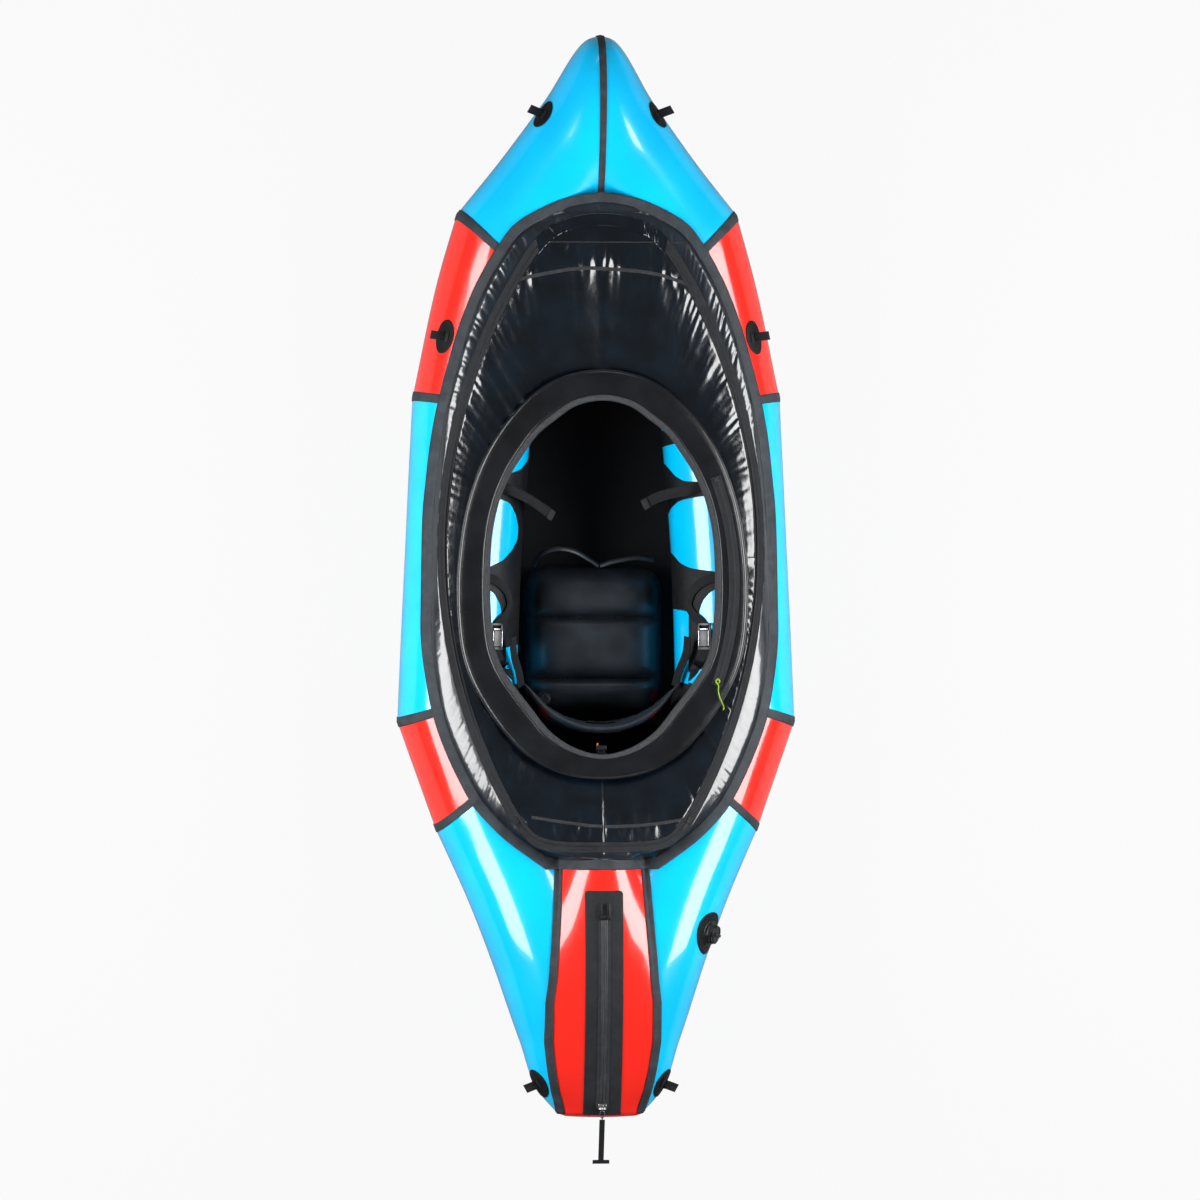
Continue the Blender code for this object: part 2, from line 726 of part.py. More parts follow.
def closed_row(right):
    return right + mirrored(reversed(right[1:-1]))


def add_deck_ring(name, rows, look):
    """Closed ring sheet from rows given from the outside in."""
    loops_top = [list(column) for column in zip(*[closed_row(row) for row in rows])]
    loops_bottom = [[point - Vector((0, 0, deck_thick)) for point in line] for line in loops_top]
    return add_sheet(name, loops_top, loops_bottom, look, around=True)


outer_reach = [reach_at(outer_table, angle) for angle in angles]
zip_out_reach = [reach_at(zip_out_table, angle) for angle in angles]
zip_in_reach = [reach_at(zip_in_table, angle) for angle in angles]
neck_reach = [reach_at(neck_table, angle) for angle in angles]
sheet_clear = deck_clear + deck_thick
edge_row = deck_row(outer_reach, [-far] * len(angles), sheet_clear)
zip_out_row = deck_row(zip_out_reach, [rise_at(zip_out_table, angle) for angle in angles], sheet_clear)
zip_in_row = deck_row(zip_in_reach, [rise_at(zip_in_table, angle) for angle in angles], sheet_clear)


def pulled(row, towards, distance):
    """Row moved a little towards another one in plan."""
    out = []
    for a, b in zip(row, towards):
        step = Vector((b.x - a.x, b.y - a.y, 0))
        out.append(a + step.normalized() * distance)
    return out


border_inner = pulled(zip_out_row, edge_row, touch_gap)
border_middle = deck_row([(a + b) / 2 for a, b in zip(outer_reach, zip_out_reach)],
                         [(a.z + b.z) / 2 for a, b in zip(edge_row, zip_out_row)], sheet_clear)
add_deck_ring("deck_border", [edge_row, border_middle, border_inner], "deck")

for side_name, side_sign in sides:
    top = []
    for a, b in zip(zip_out_row, zip_in_row):
        line = [a.copy(), b.copy()]
        for point in line:
            point.x = max(point.x, half_gap)
        top.append(line if side_sign > 0 else mirrored(line))
    bottom = [[point - Vector((0, 0, deck_thick)) for point in line] for line in top]
    add_sheet(f"deck_zip_{side_name}", top, bottom, "tape")

cover_shares = (0.14, 0.34, 0.56, 0.78)
cover_outer = pulled(zip_in_row, [Vector((hub.x, hub.y, 0))] * len(angles), touch_gap)
cover_rows = [cover_outer]
for share in cover_shares:
    reaches = [a + (b - a) * share for a, b in zip(zip_in_reach, neck_reach)]
    heights = []
    for k in range(len(angles)):
        span = zip_in_reach[k] - neck_reach[k]
        crown = 0.05 * span * math.sin(math.pi * share)
        heights.append(zip_in_row[k].z + (neck_low - zip_in_row[k].z) * share + crown)
    cover_rows.append(deck_row(reaches, heights, sheet_clear))
cover_rows.append(deck_row([reach + touch_gap for reach in neck_reach], [neck_low] * len(angles), sheet_clear))
add_deck_ring("deck_cover", cover_rows, "deck")

# Coaming: a sleeve over a rod at its outer lip, on a neck that meets the deck cover
sleeve_profile = ((0.03, 0.0), (0.03, 0.005), (0.2, 0.008), (0.84, 0.0083),
                  (0.96, 0.0065), (1.0, 0.002), (0.95, -0.003), (0.84, -0.001),
                  (0.53, 0.0035), (0.51, neck_low - coaming_top), (0.49, neck_low - coaming_top), (0.47, 0.0035))
binding_profile = ((-0.19, -0.002), (-0.2, 0.004), (-0.1, 0.008), (0.01, 0.006), (0.01, -0.001), (-0.1, -0.004))


def add_band(name, profile, look):
    """Closed ring that runs round the coaming with a profile across it."""
    half = []
    for a, b in zip(coaming_inner, coaming_outer):
        half.append([Vector((a.x + (b.x - a.x) * u, a.y + (b.y - a.y) * u, coaming_top + v)) for u, v in profile])
    loops = half + [mirrored(loop) for loop in reversed(half[1:-1])]
    return add_loft(name, loops, look, ring=True)


add_band("coaming_sleeve", sleeve_profile, "deck")
add_band("coaming_binding", binding_profile, "tape")

# Coaming zip: a level arc on top of the sleeve, on the right
coaming_zip_half = 0.0125
arc_front = plan(0.566, 0.4107)
arc_middle = plan(0.656, 0.506)
arc_rear = plan(0.566, 0.6013)
arc_centre, arc_axis, arc_radius = circle_through(arc_front, arc_middle, arc_rear)
arc_half_turn = math.asin((arc_front.y - arc_centre.y) / arc_radius)
zip_floor = coaming_top + 0.008 + 2 * touch_gap
top, bottom = [], []
for k in range(15):
    turn = arc_half_turn * (k / 7 - 1)
    ray = Vector((math.cos(turn), math.sin(turn), 0))
    line = [Vector((arc_centre.x, arc_centre.y, zip_floor)) + ray * (arc_radius + side * coaming_zip_half)
            for side in (-1, -0.16, 0.16, 1)]
    bottom.append(line)
    top.append([point + Vector((0, 0, deck_thick * (2.2 if side in (1, 2) else 1))) for side, point in enumerate(line)])
add_sheet("coaming_zip", top, bottom, "tape")


def box_points(centre, along, across, up, length, width, height, taper=0.85):
    """Eight corners of a block, a little narrower on top."""
    out = []
    for lift, scale in ((0, 1.0), (height, taper)):
        for a, b in ((-1, -1), (1, -1), (1, 1), (-1, 1)):
            out.append(centre + along * (a * length / 2 * scale) + across * (b * width / 2 * scale) + up * lift)
    return out


box_faces = [(0, 1, 2, 3), (4, 5, 6, 7), (0, 1, 5, 4), (1, 2, 6, 5), (2, 3, 7, 6), (3, 0, 4, 7)]


def add_block(name, centre, along, across, up, length, width, height, look, taper=0.85):
    return add_body(name, box_points(centre, along, across, up, length, width, height, taper), box_faces, look, 30)


def add_disc(name, centre, up, profile, look, sides=28):
    """Turned piece from radius and height pairs, bottom to top."""
    first = up.orthogonal().normalized()
    second = up.cross(first).normalized()
    loops = []
    for radius, height in profile:
        loops.append([centre + up * height + (first * math.cos(2 * math.pi * k / sides)
                                             + second * math.sin(2 * math.pi * k / sides)) * radius
                      for k in range(sides)])
    return add_loft(name, loops, look, smooth_degrees=35)


def add_ring(name, centre, axis, radius, wire, look, stretch=1.0, sides=22, around=8):
    """Closed wire ring about an axis, longer one way when stretched."""
    first = Vector((1, 0, 0)) if abs(axis.x) < 0.5 else Vector((0, 1, 0))
    second = axis.cross(first).normalized()
    loops = []
    for k in range(sides):
        turn = 2 * math.pi * k / sides
        ray = first * math.cos(turn) + second * math.sin(turn)
        spot = centre + first * (radius * math.cos(turn)) + second * (radius * stretch * math.sin(turn))
        loops.append([spot + (ray * math.cos(a) + axis * math.sin(a)) * wire
                      for a in [2 * math.pi * j / around for j in range(around)]])
    return add_loft(name, loops, look, ring=True, smooth_degrees=60)


def add_ribbon(name, path, flats, width, thick, look):
    """Webbing along a path, flat along the given directions."""
    loops = []
    for k, point in enumerate(path):
        before = path[max(k - 1, 0)]
        after = path[min(k + 1, len(path) - 1)]
        run = (after - before).normalized()
        flat = flats[k]
        flat = (flat - run * flat.dot(run)).normalized()
        up = run.cross(flat).normalized()
        loops.append([point + flat * (a * width / 2) + up * (b * thick / 2)
                      for a, b in ((-1, -1), (1, -1), (1, 1), (-1, 1))])
    return add_loft(name, loops, look, smooth_degrees=30)


x_axis, y_axis, z_axis = Vector((1, 0, 0)), Vector((0, 1, 0)), Vector((0, 0, 1))
pivots = {}

# Coaming zip slider with its bright pull cord
rest_turn = -arc_half_turn * 0.97
ray = Vector((math.cos(rest_turn), math.sin(rest_turn), 0))
run = Vector((-ray.y, ray.x, 0))
slider_spot = Vector((arc_centre.x, arc_centre.y, 0)) + ray * arc_radius
slider_spot.z = zip_floor + 2.2 * deck_thick + touch_gap
slider = add_block("coaming_zip_slider", slider_spot, run, ray, z_axis, 0.013, 0.009, 0.0045, "chrome")
cord_radius = 0.0015
cord_points = [slider_spot + Vector((0.001, 0.004, 0.004)), slider_spot + Vector((0.004, -0.008, 0.0062)),
               slider_spot + Vector((0.008, -0.02, 0.0055)), slider_spot + Vector((0.014, -0.045, 0.0036)),
               slider_spot + Vector((0.012, -0.064, 0.0026))]
cord_loops = []
for k, point in enumerate(smooth_curve(cord_points, 3)):
    cord_loops.append([point + Vector((math.cos(a), 0.3 * math.sin(a), math.sin(a))) * cord_radius
                       for a in [2 * math.pi * j / 8 for j in range(8)]])
combine(slider, add_loft("cord", cord_loops, "neon"), "UNION")
pivots["coaming_zip_slider"] = arc_centre

# Deck zip sliders at the rear ends of the arcs
slider_back = math.copysign(0.045 / zip_radius, zip_sweep)
start_arm = zip_rear - zip_centre
for side_name, side_sign in sides:
    arm = Matrix.Rotation(-slider_back, 3, zip_axis) @ start_arm
    spot = zip_centre + arm
    outward = arm.normalized()
    forward = zip_plane.cross(outward)
    spot = spot + zip_plane * 2 * touch_gap
    points = box_points(spot, forward, outward, zip_plane, 0.016, 0.011, 0.006)
    tab = box_points(spot - forward * 0.016, forward, outward, zip_plane, 0.017, 0.006, 0.002, 1.0)
    if side_sign < 0:
        points, tab = mirrored(points), mirrored(tab)
    slider = add_body(f"deck_zip_slider_{side_name}", points, box_faces, "plastic", 30)
    combine(slider, add_body("tab", tab, box_faces, "plastic", 30), "UNION")
    pivots[f"deck_zip_slider_{side_name}"] = Vector((side_sign * zip_centre.x, zip_centre.y, zip_centre.z))

# Seat cushion: three cross tubes with welded channels between them
seat_half = 0.164
seat_front = plan(0, 0.4903).y
seat_rear = plan(0, 0.6281).y
seat_channels = (plan(0, 0.5375).y, plan(0, 0.5948).y)
seat_high = 0.118
rim_high = 0.006
seat_low = floor_thick + 3 * touch_gap
columns, lines = 11, 17
top, bottom = [], []
for row in range(lines):
    v = 2 * row / (lines - 1) - 1
    y = (seat_front + seat_rear) / 2 - v * (seat_front - seat_rear) / 2
    line_top, line_bottom = [], []
    for k in range(columns):
        u = 2 * k / (columns - 1) - 1
        bulge = (max(0, 1 - abs(u) ** 5) * max(0, 1 - abs(v) ** 7)) ** 0.5
        for channel in seat_channels:
            bulge *= 1 - 0.22 * math.exp(-((y - channel) / 0.01) ** 2)
        x = u * seat_half * (1 - 0.06 * abs(v) ** 6)
        spot_y = y - v * abs(u) ** 6 * 0.012 * (-1)
        line_top.append(Vector((x, spot_y, seat_low + rim_high + seat_high * bulge)))
        line_bottom.append(Vector((x, spot_y, seat_low)))
    top.append(line_top)
    bottom.append(line_bottom)
add_sheet("seat_cushion", top, bottom, "deck")

# Seat valve on the left rear corner of the cushion
seat_tree_points = [point for row in top for point in row]
seat_faces = [(r * columns + k, r * columns + k + 1, (r + 1) * columns + k + 1, (r + 1) * columns + k)
              for r in range(lines - 1) for k in range(columns - 1)]
seat_tree = BVHTree.FromPolygons(seat_tree_points, seat_faces)
valve_spot = plan(-0.26, 0.6135)
valve_reach = 0.017
valve_high = max(top_height(seat_tree, valve_spot.x + valve_reach * math.cos(a), valve_spot.y + valve_reach * math.sin(a))
                 for a in whole_turn[::3])
valve_spot.z = valve_high + touch_gap
add_disc("seat_valve", valve_spot, z_axis, ((0.016, 0.0), (0.0165, 0.004), (0.012, 0.0055), (0.0115, 0.014),
                                            (0.0095, 0.0155)), "plastic", 24)
pivots["seat_valve"] = valve_spot

# Backrest: a padded band behind the seat, curved in plan
rest_shares = ((0.0, 0.6402), (0.132, 0.6365), (0.269, 0.6226), (0.385, 0.5985))
rest_half_curve = smooth_curve([plan(across, along) for across, along in rest_shares], 3)
rest_curve = mirrored(reversed(rest_half_curve[1:])) + rest_half_curve
rest_low, rest_high = floor_thick + 4 * touch_gap, 0.312
rest_pivot_high = 0.15
rest_rows = 8
top, bottom = [], []
for k, point in enumerate(rest_curve):
    before = rest_curve[max(k - 1, 0)]
    after = rest_curve[min(k + 1, len(rest_curve) - 1)]
    run = (after - before).normalized()
    out = Vector((run.y, -run.x, 0))
    share = abs(k - len(rest_half_curve) + 1) / (len(rest_half_curve) - 1)
    thick = 0.028 * (1 - 0.65 * share ** 4)
    line_top, line_bottom = [], []
    for row in range(rest_rows):
        v = row / (rest_rows - 1)
        low = rest_low + 0.08 * share ** 3
        high = rest_high - 0.012 * share ** 2
        z = low + (high - low) * v
        bulge = 0.25 + 0.75 * (1 - abs(2 * v - 1) ** 4) * (1 - 0.4 * math.exp(-((v - 0.5) / 0.07) ** 2))
        narrow = 0.86 + 0.14 * v
        wrap = 0.3 + 0.7 * v
        spot = Vector((point.x * narrow, rest_half_curve[0].y + (point.y - rest_half_curve[0].y) * wrap, z))
        line_top.append(spot - out * (thick / 2 * bulge))
        line_bottom.append(spot + out * (thick / 2 * bulge))
    top.append(line_top)
    bottom.append(line_bottom)
add_sheet("backrest", top, bottom, "deck")
pivots["backrest"] = Vector((0, rest_half_curve[0].y, rest_pivot_high))

# Webbing and buckles on the tubes beside the seat
web_thick = 0.0016
buckle_lift = 0.0045


def on_tube(across, along, lift):
    """Spot above the right tube's surface, and the way out of the surface."""
    return drape(across * hull_half_width, plan(0, along).y, lift)


hip_path_shares = ((0.59, 0.5005), (0.53, 0.5035), (0.475, 0.5125), (0.455, 0.5255), (0.478, 0.536), (0.515, 0.5435),
                   (0.53, 0.555), (0.53, 0.5685), (0.5, 0.579))
for side_name, side_sign in sides:
    path, flats = [], []
    dense = smooth_curve([Vector((across, along, 0)) for across, along in hip_path_shares], 3)
    for k, spot in enumerate(dense):
        point, normal = on_tube(spot.x, spot.y, 0.0045)
        ahead = dense[min(k + 1, len(dense) - 1)]
        behind = dense[max(k - 1, 0)]
        run = plan(ahead.x, ahead.y) - plan(behind.x, behind.y)
        path.append(point)
        flats.append(normal.cross(run).normalized())
    path += [plan(0.465, 0.588) + Vector((0, 0, 0.284)), plan(0.437, 0.5965) + Vector((0, 0, 0.288))]
    flats += [Vector((-0.5, 0.3, -0.8)), Vector((0, 0, -1))]
    if side_sign < 0:
        path, flats = mirrored(path), mirrored(flats)
    add_ribbon(f"hip_strap_{side_name}", path, flats, 0.022, web_thick, "web")

    spot, up = on_tube(0.53, 0.5555, 0.0045 + web_thick / 2 + touch_gap + 0.0009)
    run = (y_axis - up * up.y).normalized()
    across = run.cross(up).normalized()
    if side_sign < 0:
        spot.x, up.x, across.x, run.x = -spot.x, -up.x, -across.x, -run.x
    frame = add_block(f"buckle_frame_{side_name}", spot, run, across, up, 0.062, 0.034, 0.004, "plastic", 0.94)
    window = add_block("window", spot + run * 0.014 - up * 0.01, run, across, up, 0.018, 0.02, 0.03, "plastic", 1.0)
    combine(frame, window, "DIFFERENCE", 30)
    lever_spot = spot + up * (0.004 + touch_gap) - run * 0.004
    lever_length = 0.044
    add_block(f"buckle_lever_{side_name}", lever_spot, run, across, up, lever_length, 0.026, 0.0035, "chrome", 0.9)
    pivots[f"buckle_lever_{side_name}"] = lever_spot - run * (lever_length / 2)

    front, normal = on_tube(0.51, 0.4165, 0.0022)
    thigh = [front, plan(0.44, 0.421) + Vector((0, 0, 0.262)), plan(0.36, 0.4275) + Vector((0, 0, 0.235)),
             plan(0.29, 0.4355) + Vector((0, 0, 0.21)), plan(0.225, 0.4445) + Vector((0, 0, 0.195))]
    flats = [y_axis + x_axis * 0.3] * len(thigh)
    if side_sign < 0:
        thigh, flats = mirrored(thigh), mirrored(flats)
    add_ribbon(f"thigh_strap_{side_name}", smooth_curve(thigh, 2), [flats[0]] * 9, 0.025, web_thick, "web")

# Rear strap with its side release buckle
strap_z = 0.285
rear_path = [Vector((0, wall_y + touch_gap, 0.262)), plan(0, 0.72) + Vector((0, 0, 0.272)),
             plan(0, 0.69) + Vector((0, 0, 0.278)), plan(0, 0.672) + Vector((0, 0, strap_z))]
rear_strap = add_ribbon("rear_strap", rear_path, [x_axis] * 4, 0.025, 0.0018, "web")
socket_spot = rear_path[-1] + Vector((0, 0.012, -0.005))
socket = add_block("socket", socket_spot, y_axis, x_axis, z_axis, 0.03, 0.026, 0.01, "plastic", 0.9)
hole = add_block("hole", socket_spot + Vector((0, 0.006, 0.0025)), y_axis, x_axis, z_axis, 0.022, 0.018, 0.005,
                 "plastic", 1.0)
combine(rear_strap, socket, "UNION", 30)
combine(rear_strap, hole, "DIFFERENCE", 30)
plug_spot = socket_spot + Vector((0, 0.006, 0.0028))
plug = add_block("rear_buckle_plug", plug_spot, y_axis, x_axis, z_axis, 0.02, 0.017, 0.0042, "plastic", 1.0)
head_spot = plug_spot + Vector((0, 0.0165, -0.002))
head = add_block("head", head_spot, y_axis, x_axis, z_axis, 0.014, 0.026, 0.009, "plastic", 0.92)
combine(plug, head, "UNION", 30)
pivots["rear_buckle_plug"] = plug_spot


def tangent_frame(normal):
    """Level run along the hull and the third way, for a spot with the given normal."""
    run = normal.cross(z_axis).normalized()
    return run, normal.cross(run).normalized()


def patch_sheet(name, spot, normal, radius_run, radius_up, offset, thick, look, sides=14, rims=2):
    """Round patch laid on the hull about a spot."""
    run, rise = tangent_frame(normal)
    layers = []
    for level in (offset + thick, offset):
        points = []
        for rim in range(rims + 1):
            for k in range(sides if rim else 1):
                turn = 2 * math.pi * k / sides
                size = rim / rims
                start = (spot + normal * 0.1 + run * (radius_run * size * math.cos(turn))
                         + rise * (radius_up * size * math.sin(turn)))
                points.append(drape(0, 0, level, -normal, start)[0])
        layers.append(points)
    count = len(layers[0])
    faces = []
    for layer in range(2):
        base = layer * count
        for k in range(sides):
            after = (k + 1) % sides
            faces.append((base, base + 1 + k, base + 1 + after))
            for rim in range(rims - 1):
                here = base + 1 + rim * sides
                faces.append((here + k, here + after, here + sides + after, here + sides + k))
    edge = 1 + (rims - 1) * sides
    for k in range(sides):
        after = (k + 1) % sides
        faces.append((edge + k, edge + after, count + edge + after, count + edge + k))
    return add_body(name, layers[0] + layers[1], faces, look, 30)


# Tie loops on round patches: name, place in plan, rise above the tube's middle, how far up the
# patch faces in degrees, the patch's two radii and the loop's length
loop_spots = (
    ("bow", 0.289, 0.0731, 0.066, 38, 0.034, 0.03, 0.034),
    ("middle", 0.776, 0.2784, 0.098, 46, 0.04, 0.0255, 0.036),
    ("stern", 0.319, 0.9685, 0.028, 20, 0.036, 0.03, 0.03),
)
loop_outward_share = 0.45
loop_half_gap = 0.0024
for loop_name, across, along, loop_rise, lean, radius_run, radius_up, loop_length in loop_spots:
    aim = plan(across, along)
    aim.z = middle_height(along) + loop_rise
    lean_up = math.radians(lean)
    outward = Vector((math.cos(lean_up), 0.0, math.sin(lean_up)))
    hit, hit_normal = drape(0, 0, 0, -outward, aim + outward * 0.3)
    patch_gap = loose_gap * (1 if loop_name == "middle" else 2)
    for side_name, side_sign in sides:
        name = f"{loop_name}_tie_loop_{side_name}"
        item = patch_sheet(name, hit, hit_normal, radius_run, radius_up, patch_gap, tape_thick, "web", 16, 3)
        run, rise = tangent_frame(hit_normal)
        loop_way = (hit_normal + x_axis * loop_outward_share).normalized()
        loop_rise_way = loop_way.cross(run).normalized()
        reach = [(0.0, 1), (0.35, 1), (0.8, 1.3), (0.96, 1.0), (1.0, 0.35), (1.0, -0.35), (0.96, -1.0), (0.8, -1.3),
                 (0.35, -1), (0.0, -1)]
        path = []
        for far_share, side in reach:
            path.append(hit + hit_normal * (patch_gap + tape_thick * 0.5) + loop_way * (loop_length * far_share)
                        + loop_rise_way * (side * loop_half_gap))
        band = add_ribbon("band", path, [run] * len(path), 0.02, web_thick, "web")
        combine(item, band, "UNION", 30)
        if side_sign < 0:
            item.data.transform(Matrix.Scale(-1, 4, x_axis))
            item.data.flip_normals()

# Inflation valve on the right stern tube
valve_aim = plan(0.494, 0.8298)
valve_aim.z = middle_height(0.83) + 0.06
lean_up = math.radians(43)
outward = Vector((math.cos(lean_up), 0.0, math.sin(lean_up)))
hit, hit_normal = drape(0, 0, 0, -outward, valve_aim + outward * 0.3)
valve = patch_sheet("inflation_valve", hit, hit_normal, 0.05, 0.05, loose_gap, tape_thick, "plastic", 20, 3)
combine(valve, patch_sheet("flange", hit, hit_normal, 0.03, 0.03, loose_gap + tape_thick * 0.5, 0.003, "plastic", 20, 2),
        "UNION", 35)
combine(valve, add_disc("barrel", hit, hit_normal, ((0.023, 0.003), (0.024, 0.012), (0.022, 0.014)), "plastic"),
        "UNION", 35)
run, rise = tangent_frame(hit_normal)
cap_base = hit + hit_normal * (0.014 + touch_gap)
cap = add_disc("valve_cap", cap_base, hit_normal, ((0.0205, 0.0), (0.0215, 0.002), (0.0205, 0.005), (0.018, 0.006)),
               "plastic")
handle = add_block("handle", cap_base + hit_normal * 0.004, rise, run, hit_normal, 0.036, 0.009, 0.008, "plastic", 0.8)
combine(cap, handle, "UNION", 35)
pivots["valve_cap"] = cap_base

# Cargo zip on the tail ridge
track_half = 0.0045
track_high = 0.0028
dock_along = 0.814
track_end_along = 0.9905
patch_rows = [row[2:7] for row in tail_top[tail_alongs.index(patch_along):]]
patch_rows[-1] = [a.lerp(b, 0.96) for a, b in zip(patch_rows[-2], patch_rows[-1])]
bottom = [[point + Vector((0, 0, 0.0004)) for point in row] for row in patch_rows]
top = [[point + Vector((0, 0, tape_thick)) for point in row] for row in bottom]
cargo_zip = add_sheet("cargo_zip", top, bottom, "tape")
track_loops = []
steps = 26
for k in range(steps + 1):
    along = dock_along + (track_end_along - dock_along) * k / steps
    y = plan(0, along).y
    ray = (Vector((0, y, ridge_height(y))) - ridge_axis).normalized()
    base = ridge_axis + ray * (ridge_radius + touch_gap + tape_thick * 0.5)
    crest = ray * (tape_thick * 0.5 + track_high)
    track_loops.append([base - x_axis * track_half, base + x_axis * track_half, base + x_axis * (track_half * 0.8) + crest,
                        base - x_axis * (track_half * 0.8) + crest])
combine(cargo_zip, add_loft("track", track_loops, "tape"), "UNION")
dock_y = plan(0, 0.805).y
dock_ray = (Vector((0, dock_y, ridge_height(dock_y))) - ridge_axis).normalized()
dock = add_block("dock", ridge_axis + dock_ray * (ridge_radius + touch_gap + tape_thick * 0.5),
                 x_axis.cross(dock_ray), x_axis, dock_ray, 0.036, 0.03, 0.0068, "tape", 0.9)
combine(cargo_zip, dock, "UNION")

# Cargo zip slider at the stern end, riding over the track
slider_along = 0.9875
slider_y = plan(0, slider_along).y
slider_ray = (Vector((0, slider_y, ridge_height(slider_y))) - ridge_axis).normalized()
slider_run = x_axis.cross(slider_ray)
ride = ridge_radius + touch_gap + tape_thick + track_high + touch_gap
slider_base = ridge_axis + slider_ray * ride
cargo_slider = add_block("cargo_zip_slider", slider_base + slider_ray * 0.0003, slider_run, x_axis, slider_ray, 0.016,
                         0.023, 0.006, "chrome", 0.82)
eye_radius, eye_wire = 0.0026, 0.0008
eye_centre = slider_base + slider_run * 0.0102 + slider_ray * 0.003
combine(cargo_slider, add_ring("eye", eye_centre, x_axis, eye_radius, eye_wire, "chrome", 1.0, 14, 6), "UNION", 50)

# Pull ring through the slider's eye, then the strap with its bar
ring_wire = 0.001
ring_half_width = 0.0055
ring_half_length = 0.009
ring_drop = math.radians(14)
ring_run = Vector((0, -math.cos(ring_drop), -math.sin(ring_drop)))
ring_centre = eye_centre + ring_run * ring_half_length
ring_axis = x_axis.cross(ring_run).normalized()
add_ring("pull_ring", ring_centre, ring_axis, ring_half_width, ring_wire, "chrome", ring_half_length / ring_half_width)
ring_end = ring_centre + ring_run * ring_half_length
strap_drop = math.radians(20)
strap_run = Vector((0, -math.cos(strap_drop), -math.sin(strap_drop)))
strap_up = x_axis.cross(strap_run).normalized()
pull_strap = add_ring("pull_strap", ring_end, x_axis, 0.0028, 0.0012, "web", 1.0, 14, 6)
strap_length = (ring_end.y + bow_y) / math.cos(strap_drop) - 0.0043
strap_start = ring_end + strap_run * 0.0032
strap_middle = strap_start + strap_run * (strap_length / 2) - strap_up * 0.0014
combine(pull_strap, add_block("web", strap_middle, strap_run, x_axis, strap_up, strap_length, 0.0127, 0.0028, "web", 0.97),
        "UNION", 30)
bar_spot = strap_start + strap_run * (strap_length - 0.0015) - strap_up * 0.002
combine(pull_strap, add_block("bar", bar_spot, strap_run, x_axis, strap_up, 0.0085, 0.039, 0.004, "web", 0.9),
        "UNION", 30)
pivots["cargo_zip_slider"] = ridge_axis
pivots["pull_ring"] = eye_centre
pivots["pull_strap"] = ring_end

# Origins of the moving pieces, on their joints' axes
for name, spot in pivots.items():
    item = bpy.data.objects[name]
    item.data.transform(Matrix.Translation(-spot))
    item.location = spot
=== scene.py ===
"""Packraft with a zipped deck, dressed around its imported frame.

Metres, +Z up, bow towards +Y. The hull's tubes are chains of slanted rings, the deck is laid out on
rays from a hub inside the cockpit, and flat pieces are draped on what carries them.
"""

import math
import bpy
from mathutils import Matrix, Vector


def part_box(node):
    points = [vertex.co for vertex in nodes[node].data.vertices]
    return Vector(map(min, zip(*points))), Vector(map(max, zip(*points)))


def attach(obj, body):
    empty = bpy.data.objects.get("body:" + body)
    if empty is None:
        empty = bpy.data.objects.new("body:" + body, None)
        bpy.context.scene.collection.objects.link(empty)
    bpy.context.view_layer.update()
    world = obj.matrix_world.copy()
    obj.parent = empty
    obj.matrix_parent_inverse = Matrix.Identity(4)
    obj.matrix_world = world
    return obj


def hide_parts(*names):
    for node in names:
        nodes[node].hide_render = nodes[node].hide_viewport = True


bl_info = {
    "name": "Packraft",
    "version": (1, 0, 0),
    "blender": (4, 5, 0),
    "location": "View3D > Sidebar > Packraft",
    "description": "Inflated packraft with its deck, seat, straps and fittings",
    "category": "Object",
}

import bmesh
import bpy
import numpy as np
from bpy.props import FloatProperty, FloatVectorProperty, PointerProperty
from mathutils import Matrix, Vector, noise
from mathutils.bvhtree import BVHTree

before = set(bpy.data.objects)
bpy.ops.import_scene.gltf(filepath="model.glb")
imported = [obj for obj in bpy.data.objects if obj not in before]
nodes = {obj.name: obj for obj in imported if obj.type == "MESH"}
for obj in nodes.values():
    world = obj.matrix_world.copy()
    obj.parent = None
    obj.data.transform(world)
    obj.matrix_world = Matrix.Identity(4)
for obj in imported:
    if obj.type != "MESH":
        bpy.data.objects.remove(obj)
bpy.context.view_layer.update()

side_signs = {"right": 1, "left": -1}
x_axis, y_axis, z_axis = Vector((1, 0, 0)), Vector((0, 1, 0)), Vector((0, 0, 1))
# Height that rays start from, and distance within which vertices are joined
far = 1.0
merge = 0.00002
# Thickness of the hull's cloth and tapes, of the deck's cloth, and of thin tapes
skin_wall, deck_wall, tape_wall = 0.0009, 0.0005, 0.0007
# Height of the seam tapes over the hull, and of the tail's over its panels
tape_lift, tail_tape_lift = 0.0017, 0.0022
# The widest ring, as a share of the hull's half width
widest_share = 0.9975
bow_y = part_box("bow_panel_right")[1].y
half_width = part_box("side_panel_right")[1].x / widest_share
white = (1.0, 1.0, 1.0, 1.0)
shapes = {}


def a_length(name, description, default):
    return FloatProperty(name=name, description=description, default=default, unit="LENGTH")


